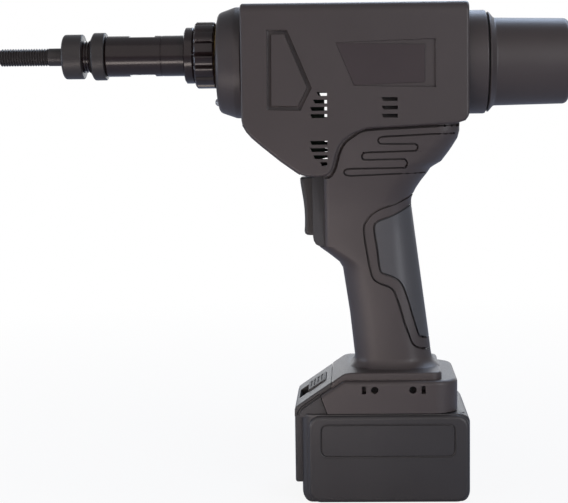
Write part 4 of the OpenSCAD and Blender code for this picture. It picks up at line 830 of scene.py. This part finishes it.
# %% [markdown]
# ## The nose
# Everything on the nose is turned on a lathe: a profile spun about an axis. Spin is the right tool, because one row of
# corners gives the whole piece with its chamfers. The boss sits on the body's own axis, a little lower than the nose,
# so the hole for the barrel is cut afterwards.

# %% Front boss
BOSS_Z, LAMP_Z = 245.5, 223.5
boss = turned("boss", [(-79.15, 0), (-79.15, 30.7), (-79.7, 31.25), (-83.0, 31.25), (-84.0, 31.1), (-91.3, 28.55),
                       (-92.5, 27.9), (-93.2, 26.9), (-93.5, 25.6), (-93.5, 0)], BOSS_Z, 128)
combine(boss, rod("barrel_hole", -100, -70, NOSE_Z, 11.5, 96))
combine(boss, rod("lamp_hole", -100, -87.5, LAMP_Z, 2.35, 32))
combine(boss, block("lamp_room", (-87.6, -4.6, 218.9), (-70, 4.6, 228.1)))
finish_piece(boss, "boss_plastic", "front_boss")

# %% Lamp lens and trim ring
lens = turned("lens", [(-87.52, 0), (-87.52, 2.3), (-94.0, 2.3)] + arc(-94.0, 0, 2.3, 90, 180, 8)[1:-1]
              + [(-96.3, 0)], LAMP_Z, 40)
finish_piece(lens, "clear_lens", "lamp_lens")
trim = turned("trim", [(-94.5, 11.5), (-94.5, 17.6), (-94.2, 18.0), (-93.8, 18.0), (-93.5, 17.7), (-93.5, 11.5)],
              NOSE_Z, 96)
finish_piece(trim, "brass", "trim_ring")

# %% [markdown]
# The stroke collar is gripped with the fingertips, so its rim has sixteen broad lobes with narrow valleys between them.
# A circle is extruded along the axis in a few rings, and each point's radius follows the lobes.

# %% Stroke collar
LOBES = 16


def collar_ring(x, outer, valley, per=12):
    ring = []
    for i in range(LOBES * per):
        angle = math.tau * i / (LOBES * per)
        dip = max(0.0, math.cos(angle * LOBES)) ** 4
        radius = outer - valley * dip
        ring.append((x, radius * math.cos(angle), NOSE_Z + radius * math.sin(angle)))
    return ring


collar = lofted("collar", [collar_ring(x, r, v) for x, r, v in (
    (-106.65, 17.2, 0.5), (-106.3, 17.9, 0.9), (-105.6, 18.6, 1.3), (-105.2, 18.75, 1.5), (-96.0, 18.75, 1.5),
    (-95.6, 18.6, 1.3), (-94.9, 17.9, 0.9), (-94.55, 17.2, 0.5))])
combine(collar, rod("collar_bore", -120, -90, NOSE_Z, 11.55, 96))
finish_piece(collar, "gloss_black", "stroke_collar", "stroke_collar")

# %% Lock ring and barrel
lock = turned("lock", [(-112.4, 11.5), (-112.4, 14.9), (-111.8, 15.7), (-111.2, 15.8), (-107.9, 15.8), (-107.2, 15.5),
                       (-106.75, 14.8), (-106.75, 11.5)], NOSE_Z, 96)
finish_piece(lock, "gloss_black", "lock_ring")
BARREL_FRONT, BARREL_BORE, BARREL_R, PITCH = -175.3, 7.06, 11.45, 1.5
thread_ridges = []
for i in range(11):
    x = BARREL_FRONT + PITCH * i
    thread_ridges += [(x + 0.3, 8.25), (x + 0.65, 9.0), (x + 0.85, 9.0), (x + 1.2, 8.25)]
barrel = turned("barrel", [(BARREL_FRONT, BARREL_BORE), (BARREL_FRONT, 8.2)] + thread_ridges + [
    (-157.9, 8.4), (-157.4, 8.6), (-157.4, 10.5), (-157.2, 10.9), (-156.5, 11.4), (-156.3, BARREL_R),
    (-125.85, BARREL_R), (-125.7, 11.2), (-125.3, 11.2), (-125.15, BARREL_R), (-79.1, BARREL_R), (-79.1, 17.9),
    (-74.1, 17.9), (-74.1, BARREL_BORE)], NOSE_Z, 96)
for z in (NOSE_Z + 10.5, NOSE_Z - 20.5):
    combine(barrel, block("flat", (-143.9, -20, z), (-129.4, 20, z + 10)))
finish_piece(barrel, "gloss_black", "nose_barrel", sharp=28)

# %% Jam nut and anvil
jam = turned("jam", [(-166.2, 9.1), (-166.2, 9.7), (-165.9, 10.2), (-164.6, 12.7), (-164.2, 13.2), (-163.6, 13.4),
                     (-157.95, 13.4), (-157.6, 13.2), (-157.45, 12.8), (-157.45, 9.1)], NOSE_Z, 96)
finish_piece(jam, "black_steel", "jam_nut", "jam_nut")
anvil = turned("anvil_nose", [(-181.6, 5.2), (-181.6, 10.4)] + arc(-179.9, 10.9, 1.7, 180, 90)
               + [(-170.9, 12.6), (-170.5, 12.4), (-170.3, 12.0), (-170.3, 9.1), (-175.4, 9.1), (-175.4, 5.2)],
               NOSE_Z, 96)
finish_piece(anvil, "black_steel", "anvil", "anvil")

# %% [markdown]
# The mandrel is the screw that the rivet nut goes on, so its thread has to read as a thread. The Screw modifier winds
# one tooth of the profile along the axis. Two bisects trim the ragged ends flat, and the plain shank joins behind.

# %% Mandrel
tooth = [(0, 4.1), (0.58, 4.95), (0.78, 4.95), (1.36, 4.1), (PITCH, 4.1)]
mandrel = loop("mandrel_screw", [(-222 + x, 0, r) for x, r in tooth])
choose(mandrel, "EDGE", lambda edge: set(edge.vertices) == {0, len(tooth) - 1})
bpy.ops.mesh.delete(type="EDGE")
close()
modify(mandrel, "SCREW", axis="X", screw_offset=PITCH, iterations=23, steps=40, render_steps=40,
       use_merge_vertices=True, merge_threshold=0.001)
tidy_skin(mandrel, 0.01)
tell("wound thread", mandrel)

# %% Trim the thread's ends
for x, keep in ((-218.6, 1), (-190.8, -1)):
    edit(mandrel)
    bpy.ops.mesh.bisect(plane_co=(x, 0, 0), plane_no=(keep, 0, 0), use_fill=True, clear_inner=True)
    close()
tidy_skin(mandrel, 0.005)
mandrel.location = (0, 0, NOSE_Z)
settle(mandrel)
tell("thread", mandrel)

# %% Shank behind the thread
cone = turned("cone", [(-218.6, 0), (-218.6, 3.7), (-217.3, 5.2), (-185, 5.2), (-185, 0)], NOSE_Z, 64)
combine(mandrel, cone, "INTERSECT")
shank = turned("shank", [(-192.6, 0), (-192.6, 4.0), (-191.0, 4.0), (-190.4, 4.97), (-182.1, 5.0), (-182.1, 4.4),
                         (-168.8, 4.4), (-168.8, 4.0), (-149.8, 4.0), (-149.8, 0)], NOSE_Z, 64)
combine(mandrel, shank, "UNION")
finish_piece(mandrel, "black_steel", "mandrel", "mandrel", sharp=30)

# %% [markdown]
# ## The rear end
# The motor's end is covered by a collar, a thin dark seal and a long cap with a slight taper. All three are spun.

# %% Rear collar, seal and cap
ring = turned("rear_ring", [(45.62, MOTOR_R), (45.62, 29.0), (55.6, 29.0), (56.4, 28.8), (56.8, 28.1), (56.8, MOTOR_R)],
              MOTOR_Z, 128)
finish_piece(ring, "shell_plastic", "rear_collar")
seal = turned("seal_ring", [(56.82, MOTOR_R), (56.82, 26.8), (57.0, 27.0), (57.4, 27.0), (57.58, 26.8),
                            (57.58, MOTOR_R)], MOTOR_Z, 96)
finish_piece(seal, "seal_rubber", "rear_seal")
cap = turned("end_cap", [(57.6, MOTOR_R), (57.6, 27.6), (58.0, 28.0), (58.5, 27.9), (60.6, 25.4), (61.2, 24.85),
                         (62.0, 24.6), (75, 24.35)] + arc(100.3, MOTOR_R, 2.7, 90, 0, 6)
             + [(103.0, 0), (101, 0), (101, MOTOR_R)], MOTOR_Z, 128)
finish_piece(cap, "shell_plastic", "rear_cap")

# %% [markdown]
# ## Trigger and bezel
# The trigger slides in a bezel, a frame let into the front of the handle. Both are outlines seen from the side. The
# trigger's outline is scooped for the finger, and a broad bevel on its front edges rounds it in the other direction.

# %% Trigger
SPRING_Z, TRIGGER_Y, SCOOP_REAR = 161.97, 10, -44.3
trigger = side_slab("trigger_key", [
    (-48.2, 180.0), (-48.0, 177.6), (-47.2, 172.5), (-46.4, 167.5), (-45.9, 162.5), (-45.7, 157.5), (-45.8, 153.0),
    (-46.0, 150.2), (-45.6, 148.7), (-44.4, 147.95), (-36.8, 147.95), (-36.8, 180.3), (-47.6, 180.35)],
    -TRIGGER_Y, TRIGGER_Y)
bevel(trigger, lambda a, b: near(a.y, b.y) and (a.x + b.x) / 2 < SCOOP_REAR, 2.4, 4)
bevel(trigger, lambda a, b: flank(a, b, TRIGGER_Y) and (a.x + b.x) / 2 > SCOOP_REAR and abs(a.x - b.x) > 1, 0.6, 2)
combine(trigger, rod("spring_seat", -39.8, -30, SPRING_Z, 3.4, 32))
finish_piece(trigger, "trigger_plastic", "trigger", "trigger")

# %% Bezel
BEZEL_Y, BEZEL_REAR, BEZEL_TOP = 15, -34.42, 181.9
bezel = side_slab("bezel", [(-41.0, BEZEL_TOP), (-41.0, 147.6), (-40.6, 145.2), (-39.4, 143.2), (-37.6, 142.2),
                            (-35.4, 142.0), (BEZEL_REAR, 142.0), (BEZEL_REAR, BEZEL_TOP)], -BEZEL_Y, BEZEL_Y)
bevel(bezel, lambda a, b: flank(a, b, BEZEL_Y) and (a.x + b.x) / 2 < BEZEL_REAR - 1
      and not at("z", BEZEL_TOP)(a, b), 2.2, 4)
tab = block("tab", (-34.6, -12.58, 144.43), (-29.9, 12.58, 179.55))
combine(bezel, tab, "UNION")
combine(bezel, block("trigger_slot", (-60, -10.4, 147.5), (-20, 10.4, 180.75)))
finish_piece(bezel, "bezel_plastic", "trigger_bezel")

# %% [markdown]
# ## Chin plate and side plates
# The chin carries a thin dark plate that wraps round its slope. It is a strip whose outline follows the chin at two
# distances. The side plates are flat inlays in the slanting recess, bare and a little smoother than the casing.

# %% Chin plate
chin_line = [(-78.7, 210.9), (-76.5, 207.1), (-73.7, 203.9), (-68.4, 199.3), (-57.7, 190.6), (-49.7, 184.9),
             (-47.4, 183.4)]


def beside(line, distance):
    """The same line, moved sideways by a distance, away from the body."""
    moved = []
    for i, (x, z) in enumerate(line):
        before, after = line[max(0, i - 1)], line[min(len(line) - 1, i + 1)]
        run = Vector((after[0] - before[0], after[1] - before[1])).normalized()
        moved.append((x + run.y * distance, z - run.x * distance))
    return moved


CHIN_Y = 23
chin = side_slab("chin_strip", beside(chin_line, 0.75) + beside(chin_line, -0.6)[::-1], -CHIN_Y, CHIN_Y)
bevel(chin, lambda a, b: flank(a, b, CHIN_Y), 0.3, 2)
finish_piece(chin, "gloss_black", "chin_plate")

# %% Side plates
side_plate = side_slab("left_inlay", plate_corners, -34, -30)
for spot in side_plate.data.vertices:
    top = near(spot.co.y, -34)
    spot.co.y = plate_y(spot.co.x) - ((0.25 + 0.55 * (spot.co.x - RECESS_FRONT) / 48.2) if top else -0.02)
bevel(side_plate, lambda a, b: a.y < plate_y(a.x) - 0.2 and b.y < plate_y(b.x) - 0.2, 0.22, 3)
other_plate = mirrored(side_plate, "right_inlay")
finish_piece(side_plate, "plate_plastic", "left_side_plate")
finish_piece(other_plate, "plate_plastic", "right_side_plate")

# %% [markdown]
# ## The battery pack
# The pack is a box with rounded corners and a raised panel on each side, with a shallow field left bare. Its cover has
# an apron down the front, a T-shaped tower that slides into the foot, and a sloping front. On the slope lies a raised
# strip with the release button, which meets the strip on the foot's slope. The plan and the panels are rounded
# outlines, so one helper draws both.

# %% Rounded outlines
def soft_corners(x0, x1, z0, z1, radius, rear_radius=None, per=7):
    corners = []
    back = rear_radius or radius
    for cx, cz, r, start in ((x1 - back, z1 - back, back, 0), (x0 + radius, z1 - radius, radius, 90),
                             (x0 + radius, z0 + radius, radius, 180), (x1 - back, z0 + back, back, 270)):
        corners += arc(cx, cz, r, start, start + 90, per)
    return corners


def upright(name, corners, z0, z1):
    return slab(name, [(x, y, z0) for x, y in corners], (0, 0, z1 - z0))


# %% Case
PACK_FRONT, PACK_REAR, PACK_Y = -48, 46, 35
CASE_TOP, PACK_TOP = 48, 50


def seen_from_side(inset, radius, top):
    """The pack's side outline: rounded below, and rounded at the top of the back."""
    low = soft_corners(PACK_FRONT + inset, PACK_REAR - inset, inset, 100, radius)
    rear = arc(PACK_REAR - inset - radius, top - radius, radius, 0, 90, 6)
    return rear + [(PACK_FRONT + inset, top)] + [c for c in low if c[1] < PACK_TOP]


def plan(gap=0.0):
    """The pack's outline from above, larger by a gap."""
    return soft_corners(PACK_FRONT - gap, PACK_REAR + gap, -PACK_Y - gap, PACK_Y + gap, 7 + gap, 5 + gap)


case = upright("pack_case", plan(), 0, CASE_TOP)
bevel(case, at("z", 0), 1.2, 3)
combine(case, side_slab("pack_side", seen_from_side(0, 6, PACK_TOP), -40, 40), "INTERSECT")
tell("case", case)

# %% Cheeks with a bare field, and room for the cells
CHEEK_Y, FIELD_Y = 37, 36.6
rim = soft_corners(-37.3, 37.3, 26.1, 44.4, 3.5)
for side in (-1, 1):
    face = side * CHEEK_Y
    cheek = side_slab("cheek", soft_corners(-44.5, 45.4, 0, 49.35, 7), *sorted((face, side * 34.5)))
    bevel(cheek, at("y", face), 2.3, 5)
    combine(case, cheek, "UNION")
    combine(case, side_slab("field", rim, *sorted((side * 38, side * FIELD_Y))))
    combine(case, groove_rod("field_line", [Vector((x, face * 0.989, z)) for x, z in rim], 0.65, closed=True))
room = upright("cells_room", soft_corners(-46, 44, -33, 33, 5), 2, 47)
combine(room, side_slab("room_side", seen_from_side(2, 4, 47), -40, 40), "INTERSECT")
combine(case, room)
combine(case, upright("cover_room", plan(0.03), CASE_TOP, 60))
finish_piece(case, "pack_plastic", "battery_case", "battery")

# %% Cover
COVER_LOW = 48.01
cover = upright("pack_cover", plan(), COVER_LOW, PACK_TOP)
bevel(cover, at("z", PACK_TOP), 0.6, 2)
combine(cover, side_slab("cover_side", seen_from_side(0, 6, PACK_TOP), -40, 40), "INTERSECT")
tell("cover plate", cover)

# %% Raised strip with its steps, apron and tower of the cover
STRIP_Y, STEP_Y = 30, 33
strip_rear = [(-34.1, PACK_TOP), (-34.1, COVER_LOW)]
slope_line = [(-52, COVER_LOW), (-52, 51.6), (-51.4, 53.2), (-49.6, 54.7), (-31.5, 67.07)]
strip = side_slab("strip", slope_line + [(-31.5, 64.07), (-37.45, 60.2)] + strip_rear, -STRIP_Y, STRIP_Y)
inner_line = [(-49.3, COVER_LOW), (-49.1, 49.6), (-48.4, 51.2), (-46.9, 52.9), (-37.35, 59.45)]
steps = side_slab("strip_steps", inner_line + strip_rear, -STEP_Y, STEP_Y)
for form, half in ((strip, STRIP_Y), (steps, STEP_Y)):
    bevel(form, lambda a, b: flank(a, b, half) and a.z + b.z > 2 * PACK_TOP and (a.x + b.x) / 2 < -36.8, 0.9, 3)
combine(strip, steps, "UNION")
apron = block("apron", (-52, -28, 10), (-48.03, 28, 49))
bevel(apron, at("x", -52), 1.3, 3)
for half, low in ((24, 49), (27.5, 54.5)):
    tower = side_slab("tower", [(-37.6, low), (-37.6, 60.15), (-31.8, 64), (35.2, 64), (35.2, low)], -half, half)
    bevel(tower, at("x", 35.2), 0.8, 2)
    combine(cover, tower, "UNION")
combine(cover, strip, "UNION")
combine(cover, apron, "UNION")
for y in (-30.2, 30.2):
    rim_line = [(-50.1, 48.6), (-49.8, 50.0), (-49.0, 51.7), (-47.4, 53.6), (-37.7, 60.2)]
    combine(cover, groove_rod("strip_line", [Vector((x, y, z)) for x, z in rim_line], 0.75))
tell("cover", cover)

# %% Openings of the cover
SLOPE = math.atan2(7.41, 11.4)
BUTTON = (-38.5, 59.58)


def on_slope(name, run, half, rise):
    """A block in the slope's own frame: run up the slope, half width, rise out of it."""
    u, n = Vector((math.cos(SLOPE), math.sin(SLOPE))), Vector((-math.sin(SLOPE), math.cos(SLOPE)))
    corners = [Vector(BUTTON) + u * a + n * b for a, b in
               ((run[0], rise[0]), (run[1], rise[0]), (run[1], rise[1]), (run[0], rise[1]))]
    return side_slab(name, [(c.x, c.y) for c in corners], -half, half)


combine(cover, block("inside", (-28.5, -22, 40), (33.2, 22, 54.7)))
for y in (-10, 10):
    combine(cover, block("blade_slot", (-2.3, y - 1.4, 56.7), (60, y + 1.4, 70)))
    combine(cover, block("contact_room", (14, y - 4, 50), (33.2, y + 4, 57)))
combine(cover, on_slope("button_hole", (-6.4, 6.4), 12.4, (-8.8, 6)))
combine(cover, on_slope("finger_room", (-12.5, -5), 12, (-4, 6)))
for x in (-42, 40):
    for y in (-29, 29):
        combine(cover, upright("screw_seat", arc(x, y, 3.1, 0, 360, 24)[:-1], 47, 50.2 if x < 0 else 55))
finish_piece(cover, "pack_plastic", "battery_cover", "battery")

# %% Release button
BUTTON_TOP = 3.2
button = on_slope("release_key", (-6, 6), 12, (-6, BUTTON_TOP))
u, n = Vector((math.cos(SLOPE), 0, math.sin(SLOPE))), Vector((-math.sin(SLOPE), 0, math.cos(SLOPE)))
origin = Vector((BUTTON[0], 0, BUTTON[1]))
bevel(button, lambda a, b: near((a - origin).dot(n), BUTTON_TOP) and near((b - origin).dot(n), BUTTON_TOP), 0.8, 3)
for i in range(4):
    ridge = on_slope("ridge", (-4.1 + 2.4 * i, -3.2 + 2.4 * i), 9, (BUTTON_TOP - 0.45, 6))
    combine(button, ridge)
finish_piece(button, "trigger_plastic", "release_button", "release")

# %% [markdown]
# ## Screws
# The foot has two screws on each side, and six long ones hold the halves together from the right. A screw head is
# a short turned disc with an eased rim and a star-shaped drive. It is modelled once for each kind and copied to its
# places, each copy with its own mesh.

# %% One screw along the tool's width
def screw(name, head_r, head_h, shank_r, length, drive_r, drive_d):
    """Head up at y = 0, pointing to -Y, with its shank behind it."""
    head = [(-head_h, 0), (-head_h, head_r * 0.86), (-head_h * 0.82, head_r * 0.97), (-head_h * 0.6, head_r),
            (0, head_r)]
    shank = [(0, shank_r), (length - 0.6, shank_r), (length, shank_r - 0.5), (length, 0)]
    piece = turned(name, head + shank, 0, 40)
    star = [(drive_r * (1 if i % 2 else 0.62) * math.cos(math.tau * i / 12),
             drive_r * (1 if i % 2 else 0.62) * math.sin(math.tau * i / 12)) for i in range(12)]
    drive = slab("drive", [(-head_h - 1, a, b) for a, b in star], (1 + drive_d, 0, 0))
    combine(piece, drive)
    piece.rotation_euler = (0, 0, math.pi / 2)
    settle(piece)
    return piece


def placed(pattern, name, places, turn=False):
    """Copies of one screw at (x, y, z) places, joined into one piece."""
    copies = []
    for place in places:
        twin = mirrored(pattern, name) if (turn and place[1] > 0) else copy_of(pattern, name)
        twin.location = place
        settle(twin)
        copies.append(twin)
    nothing_selected()
    for twin in copies:
        twin.select_set(True)
    bpy.context.view_layer.objects.active = copies[0]
    bpy.ops.object.join()
    joined = named(name)
    discard(pattern)
    return joined


# %% Foot screws and casing screws
foot_pattern = screw("foot_screw", 1.95, 1.4, 1.2, 1.0, 1.15, 0.9)
foot_places = [(x, y, z) for x, z in FOOT_SCREWS for y in (-32.6, 32.6)]
foot_screws = placed(foot_pattern, "foot_screw_set", foot_places, True)
# The foot screws take a darker black than the other screws, as painted shade of the seats they sit in.
finish_piece(foot_screws, "black_steel", "foot_screws", finish="screw_black_with_painted_shade")
left_pattern = screw("shell_screw_n", 2.85, 2.1, 1.6, 21.8, 1.7, 1.3)
shell_pattern = mirrored(left_pattern, "shell_screw")
discard(left_pattern)
shell_screws = placed(shell_pattern, "shell_screw_set", [(x, 10.05, z) for x, z in SHELL_SCREWS])
finish_piece(shell_screws, "black_steel", "shell_screws")

# %% [markdown]
# ## Springs
# Two coil springs push the trigger and the release button back. A spring gets shorter when its piece is pressed.
# Each is a wire wound round a line, with a mesh of its own.

# %% Springs
def coil(name, start, end, across, radius, wire, turns):
    """A wire wound round the line from start to end."""
    along = end - start
    up = along.normalized().cross(across)
    steps = 16 * turns
    places = []
    for i in range(steps + 1):
        a = math.tau * turns * i / steps
        places.append(start + along * (i / steps) + radius * (across * math.cos(a) + up * math.sin(a)))
    return groove_rod(name, places, wire / 2)


ACROSS = Vector((0, 1, 0))
trigger_coil = coil("trigger_coil", Vector((-39.2, 0, SPRING_Z)), Vector((-25.95, 0, SPRING_Z)), ACROSS, 2.55, 0.8, 6)
finish_piece(trigger_coil, "bare_steel", "trigger_spring")
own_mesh(trigger_coil)
release_coil = coil("release_coil", origin - n * 6.6, origin - n * 8.2, ACROSS, 3.0, 0.7, 2)
finish_piece(release_coil, "bare_steel", "release_spring", "battery")
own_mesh(release_coil)
